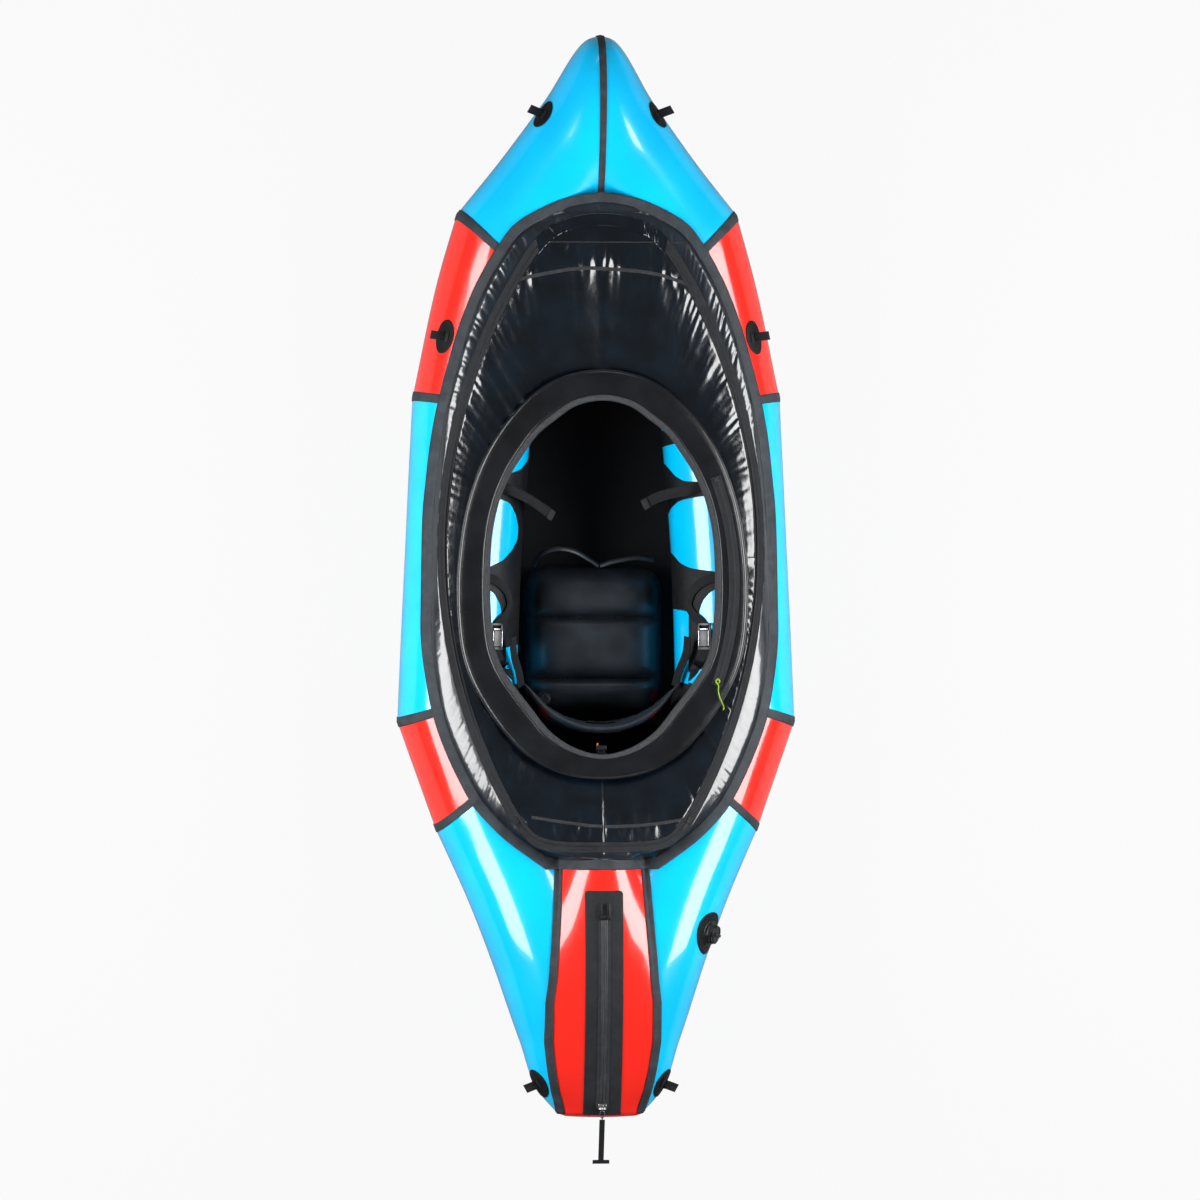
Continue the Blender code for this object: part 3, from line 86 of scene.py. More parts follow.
class HullSizes(bpy.types.PropertyGroup):
    length: a_length("Length", "Bow to stern", 2.5)
    tube: a_length("Tube half height", "Half the tube's height amidships", 0.14)
    bow_rise: a_length("Bow rise", "Lift of the tube's middle at the bow", 0.105)
    stern_rise: a_length("Stern rise", "Lift of the tube's middle at the stern", 0.102)
    pucker: a_length("Pucker", "Depth of the small folds at the seams", 0.0011)
    tape: a_length("Tape width", "Width of the seam tapes", 0.0196)
    strip: a_length("Strip width", "Width of the strip that holds the deck", 0.0255)
    blue: FloatVectorProperty(name="Blue", description="Blue coated cloth", subtype="COLOR",
                              default=(0.0, 0.55, 1.0))
    red: FloatVectorProperty(name="Red", description="Red coated cloth", subtype="COLOR",
                             default=(1.0, 0.022, 0.012))


class DeckSizes(bpy.types.PropertyGroup):
    gather: a_length("Gather", "Depth of the gathers beside the zips", 0.0026)
    fold: a_length("Fold", "Depth of the deck's soft folds", 0.004)
    coaming_top: a_length("Coaming height", "Height of the coaming's lip", 0.322)
    black: FloatVectorProperty(name="Black", description="Deck cloth", subtype="COLOR",
                               default=(0.002, 0.0045, 0.008))
    cord: FloatVectorProperty(name="Cord", description="Pull cord", subtype="COLOR",
                              default=(0.5, 0.78, 0.02))


class FittingSizes(bpy.types.PropertyGroup):
    webbing: a_length("Webbing width", "Width of the harness webbing", 0.022)
    webbing_wall: a_length("Webbing thickness", "Thickness of the webbing", 0.0016)


class StageSizes(bpy.types.PropertyGroup):
    lamp: FloatProperty(name="Softbox power", description="Power of each side softbox", default=112.0,
                        unit="POWER")
    sky: FloatProperty(name="Sky", description="Strength of the plain light all round", default=0.1)
    distance: a_length("Camera distance", "Camera to hull", 18.0)
    width: a_length("Frame width", "Width that the picture shows", 2.775)
    lean: FloatProperty(name="Lean", description="Camera's lean from straight above",
                        default=math.radians(4.76), unit="ROTATION")


def sizes_now(group):
    return getattr(bpy.context.scene, f"packraft_{group}")


# Shader maths
class Value:
    """A socket that carries a number, on which Python's operators add Math nodes."""

    def __init__(self, look, socket):
        self.look = look
        self.socket = socket

    def _math(self, operation, first, second=None):
        sockets = {0: first} if second is None else {0: first, 1: second}
        made = self.look.node("ShaderNodeMath", {"operation": operation}, sockets)
        return Value(self.look, made.outputs[0])

    def __add__(self, other):
        return self._math("ADD", self, other)

    def __sub__(self, other):
        return self._math("SUBTRACT", self, other)

    def __mul__(self, other):
        return self._math("MULTIPLY", self, other)

    def __abs__(self):
        return self._math("ABSOLUTE", self)

    def sine(self):
        return self._math("SINE", self)

    def at_least(self, limit):
        return self._math("MAXIMUM", self, limit)

    def at_most(self, limit):
        return self._math("MINIMUM", self, limit)


class Look:
    """A material and the nodes that feed its shader."""

    def __init__(self, name, **constants):
        self.material = bpy.data.materials.new(name)
        self.material.use_nodes = True
        self.tree = self.material.node_tree
        self.shader = self.tree.nodes["Principled BSDF"]
        for socket, value in constants.items():
            self.shader.inputs[socket.replace("_", " ")].default_value = value

    def node(self, kind, settings=None, sockets=None):
        made = self.tree.nodes.new(kind)
        for setting, value in (settings or {}).items():
            setattr(made, setting, value)
        for key, value in (sockets or {}).items():
            self.join(made.inputs[key], value)
        return made

    def join(self, socket, value):
        if isinstance(value, Value):
            value = value.socket
        if isinstance(value, bpy.types.NodeSocket):
            self.tree.links.new(value, socket)
        else:
            socket.default_value = value

    def feed(self, socket, value):
        self.join(self.shader.inputs[socket], value)

    def place(self):
        return self.node("ShaderNodeTexCoord").outputs["Object"]

    def parts(self, vector):
        made = self.node("ShaderNodeSeparateXYZ", sockets={0: vector})
        return [Value(self, output) for output in made.outputs]

    def across(self):
        """The piece's own map, split into its two numbers."""
        return self.parts(self.node("ShaderNodeUVMap").outputs[0])[:2]

    def clouds(self, scale, detail=3.0, rough=0.5, place=None):
        sockets = {"Vector": place or self.place(), "Scale": scale, "Detail": detail, "Roughness": rough}
        return Value(self, self.node("ShaderNodeTexNoise", sockets=sockets).outputs["Fac"])

    def cells(self, scale, place):
        made = self.node("ShaderNodeTexVoronoi", {"feature": "DISTANCE_TO_EDGE"},
                         {"Vector": place, "Scale": scale})
        return Value(self, made.outputs["Distance"])

    def ramp(self, value, low, high):
        made = self.node("ShaderNodeMapRange", {"interpolation_type": "SMOOTHSTEP"},
                         {"Value": value, "From Min": low, "From Max": high})
        return Value(self, made.outputs[0])

    def blend(self, share, first, second):
        made = self.node("ShaderNodeMix", {"data_type": "RGBA"})
        self.join(made.inputs[0], share)
        self.join(made.inputs[6], first)
        self.join(made.inputs[7], second)
        return made.outputs[2]

    def tint(self, value, low, high, colour, darker, lighter):
        """Base colour that goes from darker to lighter while a value goes from low to high."""
        share = self.ramp(value, low, high)
        self.feed("Base Color", self.blend(share, shade(colour, darker), shade(colour, lighter)))

    def bump(self, height, depth):
        made = self.node("ShaderNodeBump", sockets={"Height": height, "Distance": depth})
        self.feed("Normal", made.outputs[0])


def shade(colour, factor):
    return (*(min(1.0, part * factor) for part in colour), 1.0)


def coated_cloth(name, colour):
    """Glossy coated nylon: fine weave under the coating, soft clouding and faint scuffs."""
    look = Look(name, Coat_Roughness=0.06, Coat_IOR=1.6, Specular_IOR_Level=0.4)
    clouding = look.clouds(7.0)
    scuffs = look.clouds(240.0, 4.0, 0.6)
    look.tint(clouding, 0.3, 0.7, colour, 0.94, 1.04)
    look.feed("Roughness", look.ramp(scuffs, 0.35, 0.8) * 0.05 + 0.2)
    look.feed("Coat Weight", clouding * 0.2 + 0.55)
    weave = weave_height(look, 900.0)
    look.bump(look.clouds(22.0, 2.0) * 1.2 + weave * 0.05, 0.0005)
    return look.material


def weave_height(look, scale):
    """Height of a plain weave on the three axes, from crossed waves."""
    x, y, z = look.parts(look.place())
    return (x * scale).sine() * (y * scale).sine() + (z * scale).sine() * 0.5


def tape_cloth(name, colour, rough=0.5):
    """Matt reinforcing tape with a twill and a slight sheen."""
    look = Look(name, Specular_IOR_Level=0.22)
    x, y, z = look.parts(look.place())
    twill = ((x + y + z) * 2100.0).sine()
    wear = look.clouds(34.0, 5.0, 0.65)
    look.tint(wear, 0.35, 0.75, colour, 0.8, 1.35)
    look.feed("Roughness", look.ramp(wear, 0.3, 0.8) * 0.16 + rough)
    look.bump(twill * 0.25 + wear * 1.2, 0.0005)
    return look.material


def shiny_cloth(name, colour, rough, crinkle, coat=0.0):
    """Thin shiny black cloth with sharp little creases between flat facets."""
    look = Look(name, Specular_IOR_Level=0.6, Coat_Weight=coat, Coat_Roughness=0.1)
    bend = look.clouds(16.0, 2.0)
    swirl = look.node("ShaderNodeTexNoise", sockets={"Vector": look.place(), "Scale": 20.0})
    warped = look.node("ShaderNodeVectorMath", {"operation": "MULTIPLY_ADD"},
                       {0: swirl.outputs["Color"], 1: (0.02, 0.02, 0.02), 2: look.place()}).outputs[0]
    creases = look.cells(62.0, warped).at_most(0.3)
    fine = look.cells(170.0, warped).at_most(0.25)
    look.tint(bend, 0.3, 0.7, colour, 0.8, 1.5)
    look.feed("Roughness", look.clouds(90.0, 4.0) * 0.1 + rough)
    look.bump(creases * 0.45 + fine * 0.06 + bend * 1.2, crinkle)
    return look.material


def webbing_cloth(name, colour):
    """Woven webbing: ribs across, two raised edges and a fleck."""
    look = Look(name, Specular_IOR_Level=0.3)
    along, across = look.across()
    ribs = (along * 1900.0).sine()
    herring = ((along * 950.0) + abs(across - 0.5) * 42.0).sine()
    edge = look.ramp(abs(across - 0.5), 0.4, 0.47)
    fleck = look.clouds(420.0, 3.0)
    look.tint(fleck + herring * 0.12, 0.35, 0.75, colour, 0.6, 2.1)
    look.feed("Roughness", look.ramp(fleck, 0.3, 0.7) * 0.2 + 0.6)
    look.bump(herring * 0.5 + ribs * 0.22 + edge * 0.6, 0.0006)
    return look.material


def moulded_plastic(name, colour, rough=0.28):
    """Moulded plastic with a fine grain and lighter rubbed patches."""
    look = Look(name, Specular_IOR_Level=0.5)
    grain = look.clouds(1400.0, 2.0)
    rub = look.clouds(70.0, 5.0, 0.7)
    look.tint(rub, 0.4, 0.8, colour, 0.85, 1.6)
    look.feed("Roughness", look.ramp(rub, 0.3, 0.8) * 0.2 + rough)
    look.bump(grain * 0.5 + rub, 0.00022)
    return look.material


def worn_metal(name, colour):
    """Plated metal with fine scratches and hazy patches."""
    look = Look(name, Metallic=1.0)
    stretched = look.node("ShaderNodeMapping", sockets={0: look.place(), 3: (900.0, 60.0, 900.0)}).outputs[0]
    lines = look.clouds(1.0, 4.0, 0.7, stretched)
    haze = look.clouds(160.0, 4.0)
    look.tint(haze, 0.3, 0.7, colour, 0.85, 1.1)
    look.feed("Roughness", haze * 0.2 + lines * 0.12 + 0.06)
    look.bump(lines, 0.00008)
    return look.material


def braided_cord(name, colour):
    """Bright braided cord: two sets of strands that cross."""
    look = Look(name, Specular_IOR_Level=0.4)
    along, around = look.across()
    left = (along * 62.0 + around * 37.7).sine()
    right = (along * 62.0 - around * 37.7).sine()
    strands = left.at_least(right)
    look.tint(strands, -0.2, 0.9, colour, 0.45, 1.15)
    look.feed("Roughness", look.ramp(strands, -0.5, 1.0) * 0.2 + 0.45)
    look.bump(strands, 0.0004)
    return look.material


def make_looks():
    hull = sizes_now("hull")
    deck = sizes_now("deck")
    grey = (0.036, 0.043, 0.05)
    black = (0.005, 0.006, 0.0075)
    shapes["looks"] = {
        "blue_cloth": coated_cloth("blue_coated_cloth", hull.blue),
        "red_cloth": coated_cloth("red_coated_cloth", hull.red),
        "seam_tape": tape_cloth("grey_seam_tape", grey),
        "deck_cloth": shiny_cloth("shiny_deck_cloth", deck.black, 0.15, 0.0009, 0.7),
        # Border cloth: the deck's black made 1.6 times lighter, a painted sheen for the lamp reflections on
        # that band
        "border_cloth": shiny_cloth("border_cloth_painted_sheen", shade(deck.black, 1.6)[:3], 0.3, 0.0008, 1.0),
        # Seat cloth: its dark navy made lighter, a painted sheen in place of the grey highlights that an
        # overhead lamp would give
        "seat_cloth": shiny_cloth("seat_cloth_painted_sheen", (0.018, 0.023, 0.03), 0.34, 0.0003),
        "sleeve_cloth": shiny_cloth("satin_sleeve_cloth", black, 0.2, 0.0005),
        "floor_cloth": tape_cloth("black_floor_cloth", black, 0.55),
        "patch_cloth": tape_cloth("black_patch_cloth", (0.006, 0.006, 0.007), 0.42),
        "zip_tape": tape_cloth("black_zip_tape", (0.016, 0.018, 0.021), 0.6),
        "binding": webbing_cloth("grey_binding", (0.034, 0.036, 0.04)),
        "webbing": webbing_cloth("black_webbing", black),
        "plastic": moulded_plastic("black_moulding", (0.008, 0.009, 0.011)),
        "rail": moulded_plastic("grey_rail", (0.026, 0.029, 0.033), 0.3),
        "bright_metal": worn_metal("bright_metal", (0.66, 0.66, 0.68)),
        "cord": braided_cord("bright_cord", deck.cord),
        "orange": moulded_plastic("orange_tab", (0.8, 0.12, 0.01), 0.4),
    }


# CAD slot that goes with each look, where a piece doesn't name another
slots_of = {"blue_cloth": "blue_cloth", "red_cloth": "red_cloth", "seam_tape": "seam_tape",
            "deck_cloth": "deck_cloth", "border_cloth": "deck_cloth", "seat_cloth": "deck_cloth",
            "floor_cloth": "floor_cloth", "zip_tape": "seam_tape", "rail": "seam_tape", "binding": "webbing",
            "webbing": "webbing", "plastic": "black_plastic", "orange": "black_plastic",
            "bright_metal": "bright_metal"}


# Mesh helpers
def linked(name, data):
    item = bpy.data.objects.new(name, data)
    bpy.context.scene.collection.objects.link(item)
    return item


def finish(shape, name, look, slot=None, body="boat", stands_for=None, wall=0.0, offset=-1.0, sharp=35.0):
    """Object from a finished mesh: its look, its wall, its body and the node that it stands for."""
    mesh = bpy.data.meshes.new(name)
    shape.to_mesh(mesh)
    shape.free()
    mesh.shade_smooth()
    mesh.set_sharp_from_angle(angle=math.radians(sharp))
    item = linked(name, mesh)
    mesh.materials.append(shapes["looks"][look])
    if wall:
        skin = item.modifiers.new("wall", "SOLIDIFY")
        skin.thickness = wall
        skin.offset = offset
    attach(item, body)
    slot = slot or slots_of.get(look)
    if stands_for:
        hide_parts(stands_for)
    return item


def grid_shape(columns, rows, place, towards=None, closed=False, smoothing=0, relief=None,
               stretch=(1.0, 1.0)):
    """Mesh from a grid whose points are placed by their two shares, facing one way or outwards."""
    shape = bmesh.new()
    chart = shape.loops.layers.uv.new("UVMap")
    bmesh.ops.create_grid(shape, x_segments=columns, y_segments=rows, size=0.5, calc_uvs=True)
    for face in shape.faces:
        for corner in face.loops:
            corner[chart].uv = Vector((corner[chart].uv.x * stretch[0], corner[chart].uv.y * stretch[1]))
    shares = {}
    for point in shape.verts:
        share = (clamped(point.co.x + 0.5), clamped(point.co.y + 0.5))
        point.co = place(*share)
        shares[point] = share
    if closed:
        bmesh.ops.remove_doubles(shape, verts=shape.verts, dist=merge)
    inside = [point for point in shape.verts if not point.is_boundary]
    for _ in range(smoothing):
        bmesh.ops.smooth_vert(shape, verts=inside, factor=0.5, use_axis_x=False, use_axis_y=False,
                              use_axis_z=True)
    if relief:
        for point in shape.verts:
            share = shares.get(point)
            if share:
                point.co.z += relief(point.co, *share)
    shape.normal_update()
    middle = sum((point.co for point in shape.verts), Vector()) / len(shape.verts)
    total = 0.0
    for face in shape.faces:
        way = towards if towards is not None else face.calc_center_median() - middle
        total += face.normal.dot(way) * face.calc_area()
    if total < 0:
        bmesh.ops.reverse_faces(shape, faces=shape.faces)
    return shape


def mirrored(point, sign):
    """The point itself for the right side, or its mirror image for the left one."""
    return Vector((point.x * sign, point.y, point.z))


def clamped(value):
    return min(1.0, max(0.0, value))


def between(x, places, values, **ends):
    return float(np.interp(x, places, values, **ends))


def bell(value, middle, reach, power=2):
    """Smooth hump about a middle: one there, and near nothing at twice the reach."""
    return math.exp(-((value - middle) / reach) ** power)


def fade(distance, reach):
    return math.exp(-abs(distance) / reach)


def tree_of(*items):
    """Ray tree over the shown triangles of some objects."""
    points, faces = [], []
    for item in items:
        start = len(points)
        points += [vertex.co.copy() for vertex in item.data.vertices]
        faces += [tuple(start + k for k in face.vertices) for face in item.data.polygons]
    return BVHTree.FromPolygons(points, faces)


def bend_between(a, b, c, d, t):
    """Point at a share of the smooth curve from b to c, where a comes before them and d after."""
    return 0.5 * (2 * b + (c - a) * t + (2 * a - 5 * b + 4 * c - d) * t ** 2
                  + (3 * b - a - 3 * c + d) * t ** 3)


def smooth_path(points, share):
    """Point at a share of a smooth curve through some points."""
    last = len(points) - 1
    at = min(share, 0.999999) * last
    k = int(at)
    t = at - k
    b, c = points[k], points[k + 1]
    a = points[k - 1] if k else 2 * b - c
    d = points[k + 2] if k + 2 <= last else 2 * c - b
    return bend_between(a, b, c, d, t)


def path_way(points, share):
    """Direction of a smooth path at a share of it."""
    reach = 0.01
    after, before = clamped(share + reach), clamped(share - reach)
    return (smooth_path(points, after) - smooth_path(points, before)).normalized()


def path_length(points):
    steps = 200
    spots = [smooth_path(points, k / steps) for k in range(steps + 1)]
    return sum((b - a).length for a, b in zip(spots, spots[1:]))


def ribbon(name, points, flats, width, look, wall, body="boat", stands_for=None, rows=None, curl=0.0):
    """Webbing along a smooth path, flat along the given directions."""
    length = path_length(points)
    rows = rows or max(8, int(length / 0.004))

    def place(along, across):
        spot = smooth_path(points, along)
        run = path_way(points, along)
        flat = smooth_path(flats, along)
        flat = (flat - run * flat.dot(run)).normalized()
        crown = 1 - (2 * across - 1) ** 2
        return spot + flat * ((across - 0.5) * width) + run.cross(flat) * (crown * curl)

    shape = grid_shape(rows, 6, place, towards=z_axis, stretch=(length, 1.0))
    return finish(shape, name, look, body=body, stands_for=stands_for, wall=wall, offset=0.0)


def cord_piece(name, points, radius, look, body, sides=10):
    """Round cord along a smooth path."""
    length = path_length(points)
    rows = max(12, int(length / (radius * 1.5)))

    def place(along, around):
        spot = smooth_path(points, along)
        run = path_way(points, along)
        first = run.orthogonal().normalized() if abs(run.z) > 0.9 else run.cross(z_axis).normalized()
        second = run.cross(first)
        turn = 2 * math.pi * around
        size = radius * min(1.0, 14 * min(along, 1 - along) + 0.35)
        return spot + first * (size * math.cos(turn)) + second * (size * math.sin(turn))

    shape = grid_shape(rows, sides, place, closed=True, stretch=(length / radius / 2, 1.0))
    bmesh.ops.holes_fill(shape, edges=shape.edges, sides=0)
    bmesh.ops.recalc_face_normals(shape, faces=shape.faces)
    return finish(shape, name, look, body=body)


def block(name, centre, ways, size, look, bevel, slot=None, body="boat", stands_for=None, taper=1.0):
    """Bevelled block about a point, along three ways, narrower on top where it tapers."""
    shape = bmesh.new()
    bmesh.ops.create_cube(shape, size=1.0)
    for point in shape.verts:
        scale = taper if point.co.z > 0 else 1.0
        spot = centre.copy()
        for way, part, length, squeeze in zip(ways, point.co, size, (scale, scale, 1.0)):
            spot += way * (part * length * squeeze)
        point.co = spot
    bmesh.ops.recalc_face_normals(shape, faces=shape.faces)
    bmesh.ops.bevel(shape, geom=shape.edges[:], offset=bevel, offset_type="OFFSET", segments=2, profile=0.5,
                    affect="EDGES", material=-1)
    return finish(shape, name, look, slot, body, stands_for, sharp=40.0)


def turned(name, base, up, profile, steps, body="boat", stands_for=None, ribs=0, rib_depth=0.0):
    """Plastic piece turned from radius and height pairs about an axis, with ribs on its rim where asked."""
    shape = bmesh.new()
    points = [shape.verts.new((radius, 0, height)) for radius, height in profile]
    edges = [shape.edges.new(pair) for pair in zip(points, points[1:])]
    bmesh.ops.spin(shape, geom=points + edges, cent=(0, 0, 0), axis=(0, 0, 1), angle=2 * math.pi, steps=steps,
                   use_merge=True)
    bmesh.ops.remove_doubles(shape, verts=shape.verts, dist=merge)
    widest = max(radius for radius, _ in profile)
    if ribs:
        for point in shape.verts:
            if math.hypot(point.co.x, point.co.y) > 0.93 * widest:
                turn = math.atan2(point.co.y, point.co.x)
                squeeze = 1 - rib_depth / widest * (0.5 + 0.5 * math.cos(ribs * turn))
                point.co.x *= squeeze
                point.co.y *= squeeze
    bmesh.ops.recalc_face_normals(shape, faces=shape.faces)
    first = up.orthogonal().normalized()
    second = up.cross(first)
    for point in shape.verts:
        point.co = base + first * point.co.x + second * point.co.y + up * point.co.z
    return finish(shape, name, "plastic", body=body, stands_for=stands_for)


# Hull shape
# Rings of the right tube, bow to stern: shares of the outer end across and along, of the inner end across
# and along, and of the half height
ring_shares = (
    (0.0, 0.0, 0.0, 0.1739, 1.0),
    (0.0599, 0.0028, 0.0399, 0.1841, 1.0),
    (0.2718, 0.0592, 0.0898, 0.1961, 1.0),
    (0.4539, 0.1055, 0.1297, 0.2063, 1.0),
    (0.7032, 0.1637, 0.2544, 0.247, 1.0),
    (0.782, 0.2147, 0.2444, 0.2722, 1.0),
    (0.9227, 0.333, 0.3242, 0.3497, 1.0),
    (0.9626, 0.4847, 0.3791, 0.4847, 1.0),
    (0.9975, 0.6346, 0.399, 0.6013, 1.0),
    (0.808, 0.7345, 0.3292, 0.6559, 1.02),
    (0.7406, 0.7623, 0.1945, 0.7151, 1.04),
    (0.6409, 0.8048, 0.0349, 0.7845, 1.08),
    (0.5387, 0.8548, -0.0648, 0.8548, 1.07),
    (0.4015, 0.9288, -0.197, 0.9288, 0.83),
    (0.2994, 0.978, -0.2095, 0.978, 0.5),
    (0.2095, 0.997, -0.2095, 0.997, 0.315),
)
# Panels: name, first and last ring, look
panel_runs = (
    ("bow_panel", 0, 4, "blue_cloth"),
    ("shoulder_panel", 4, 6, "red_cloth"),
    ("side_panel", 6, 8, "blue_cloth"),
    ("hip_panel", 8, 9, "red_cloth"),
    ("stern_panel", 9, 15, "blue_cloth"),
)
seam_rings = {"bow": 4, "shoulder": 6, "hip": 8, "stern": 9}
bow_curve_share = 0.263
stern_curve_share = 0.651
# Tail panel's edge on the tube: shares along and across
tail_edge_shares = ((0.757, 0.212), (0.80, 0.226), (0.8363, 0.2394), (0.8733, 0.2544), (0.8918, 0.2673),
                    (0.9288, 0.2693), (0.9565, 0.2494), (0.975, 0.2294), (0.99, 0.2045), (0.997, 0.198))
tail_first, tail_last = 0.757, 0.997
ridge_radius = 1.0
ridge_top = 0.377
ridge_along = 0.8455
floor_skin = 0.0018


def plan(across, along, height=0.0):
    """Point from shares of the half width and of the length behind the bow."""
    return Vector((across * half_width, bow_y - along * sizes_now("hull").length, height))


def share_at(y):
    return (bow_y - y) / sizes_now("hull").length


def middle_height(along):
    """Height of the tube's middle."""
    hull = sizes_now("hull")
    middle = hull.tube + floor_skin
    if along < bow_curve_share:
        return middle + hull.bow_rise * ((bow_curve_share - along) / bow_curve_share) ** 2
    rise = clamped((along - stern_curve_share) / (1 - stern_curve_share))
    return middle + hull.stern_rise * rise * rise * (3 - 2 * rise)


def ring_values(shares):
    outer = plan(shares[0], shares[1], middle_height(shares[1]))
    inner = plan(shares[2], shares[3], middle_height(shares[3]))
    return np.array((*outer, *inner, sizes_now("hull").tube * shares[4]))


def make_rings():
    """Rings, their distances along the tube and, for each panel, the slopes at its rings."""
    rings = [ring_values(shares) for shares in ring_shares]
    steps = [float(np.linalg.norm((b - a)[:3]) + np.linalg.norm((b - a)[3:6])) / 2
             for a, b in zip(rings, rings[1:])]
    shapes["rings"] = rings
    shapes["steps"] = steps
    shapes["runs"] = [0.0, *np.cumsum(steps)]
    shapes["slopes"] = {}
    for _, first, last, _ in panel_runs:
        slopes = [(rings[k + 1] - rings[k]) / steps[k] for k in range(first, last)]
        middle = [(slopes[k] * steps[first + k + 1] + slopes[k + 1] * steps[first + k])
                  / (steps[first + k] + steps[first + k + 1]) for k in range(len(slopes) - 1)]
        shapes["slopes"][first] = [slopes[0], *middle, slopes[-1]]


def ring_at(place):
    """Outer end, inner end and half height of the tube's ring at a place along the chain."""
    first, last = next((run[1], run[2]) for run in panel_runs if place <= run[2])
    low = min(int(place), last - 1)
    low = max(low, first)
    t = place - low
    step = shapes["steps"][low]
    a, b = shapes["rings"][low], shapes["rings"][low + 1]
    slopes = shapes["slopes"][first]
    out, back = slopes[low - first] * step, slopes[low - first + 1] * step
    value = (a * (2 * t ** 3 - 3 * t ** 2 + 1) + out * (t ** 3 - 2 * t ** 2 + t)
             + b * (3 * t ** 2 - 2 * t ** 3) + back * (t ** 3 - t ** 2))
    return Vector(value[:3]), Vector(value[3:6]), float(value[6])


def pucker(place, angle):
    """Small folds that start at each seam, and the hull's slow unevenness."""
    run = between(place, range(len(ring_shares)), shapes["runs"])
    depth = 0.0
    for seam in (0, *seam_rings.values()):
        distance = abs(run - shapes["runs"][seam])
        if distance < 0.16:
            folds = noise.noise(Vector((math.cos(angle) * 5.2, math.sin(angle) * 5.2, seam + distance * 3)))
            fine = noise.noise(Vector((math.cos(angle) * 13, math.sin(angle) * 13, seam + 7 + distance * 9)))
            depth += (folds + 0.6 * fine) * fade(distance, 0.035)
    slow = noise.noise(Vector((math.cos(angle) * 1.3, math.sin(angle) * 1.3, run * 3.1)))
    return sizes_now("hull").pucker * (depth + 0.9 * slow)


def tube_point(place, angle, lift, folded=True):
    """Point on the right tube before its stern is pressed against the other tube and the tail panel."""
    outer, inner, half_height = ring_at(place)
    if folded:
        lift += pucker(place, angle)
    arm = (outer - inner) / 2
    grown = 1 + lift / sizes_now("hull").tube
    return ((outer + inner) / 2 + arm * (grown * math.cos(angle))
            + z_axis * ((half_height + lift) * math.sin(angle)))


def hull_point(place, angle, lift=0.0):
    """Point on the right tube's skin, moved out from it."""
    point = tube_point(place, angle, lift)
    point.x = max(point.x, 0.0004)
    if place > 9.5 and point.z > 0.2:
        along = share_at(point.y)
        if tail_first < along < 1 and point.x < tail_edge(along) - 0.003:
            point.z = min(point.z, tail_height(point.x, along) - 0.004 + lift)
    return point


def tail_edge(along):
    alongs, widths = zip(*tail_edge_shares)
    return between(along, alongs, widths) * half_width


def ridge_height(y):
    middle = plan(0, ridge_along).y
    return ridge_top - ridge_radius + math.sqrt(ridge_radius ** 2 - (y - middle) ** 2)


def height_on(tree, x, y, missing=0.0):
    hit = tree.ray_cast(Vector((x, y, far)), -z_axis)[0]
    return hit.z if hit else missing


def tail_height(x, along):
    """Height of the tail panel, which runs from the tubes up to an arched ridge."""
    if not shapes["tail_seams"]:
        alongs = np.linspace(tail_first - 0.004, 1.0, 90)
        heights = [height_on(shapes["tubes"], tail_edge(share), plan(0, share).y) for share in alongs]
        held = [(share, height) for share, height in zip(alongs, heights) if height > 0.15]
        even = np.interp(alongs, *zip(*held))
        soft = np.convolve(np.pad(even, 4, mode="edge"), np.full(9, 1 / 9), mode="valid")
        shapes["tail_seams"] = (alongs, soft)
    seam = between(along, *shapes["tail_seams"])
    ridge = ridge_height(plan(0, along).y)
    return ridge - (ridge - seam) * (x / tail_edge(along)) ** 2


def make_tube_tree():
    """Ray tree of the plain tubes, for the height of the tail panel's seams."""
    shapes["tail_seams"] = {}
    turns = 64
    places = [k / 4 for k in range(4 * (len(ring_shares) - 1) + 1)]
    points, faces = [], []
    for place in places:
        points += [tube_point(place, 2 * math.pi * k / turns, 0.0, False) for k in range(turns)]
    for row in range(len(places) - 1):
        for k in range(turns):
            here, after = row * turns + k, row * turns + (k + 1) % turns
            faces.append((here, after, after + turns, here + turns))
    shapes["tubes"] = BVHTree.FromPolygons(points, faces)


def drape(x, y, lift, trees):
    """Highest point of some trees over a place in plan, moved out along the surface."""
    best, way = None, None
    for name in trees:
        spot, normal, _, _ = shapes[name].ray_cast(Vector((x, y, far)), -z_axis)
        if spot and (best is None or spot.z > best.z):
            best, way = spot, normal
    if best is None:
        return Vector((x, y, 0.0))
    if way.z < 0:
        way = -way
    return best + way * lift


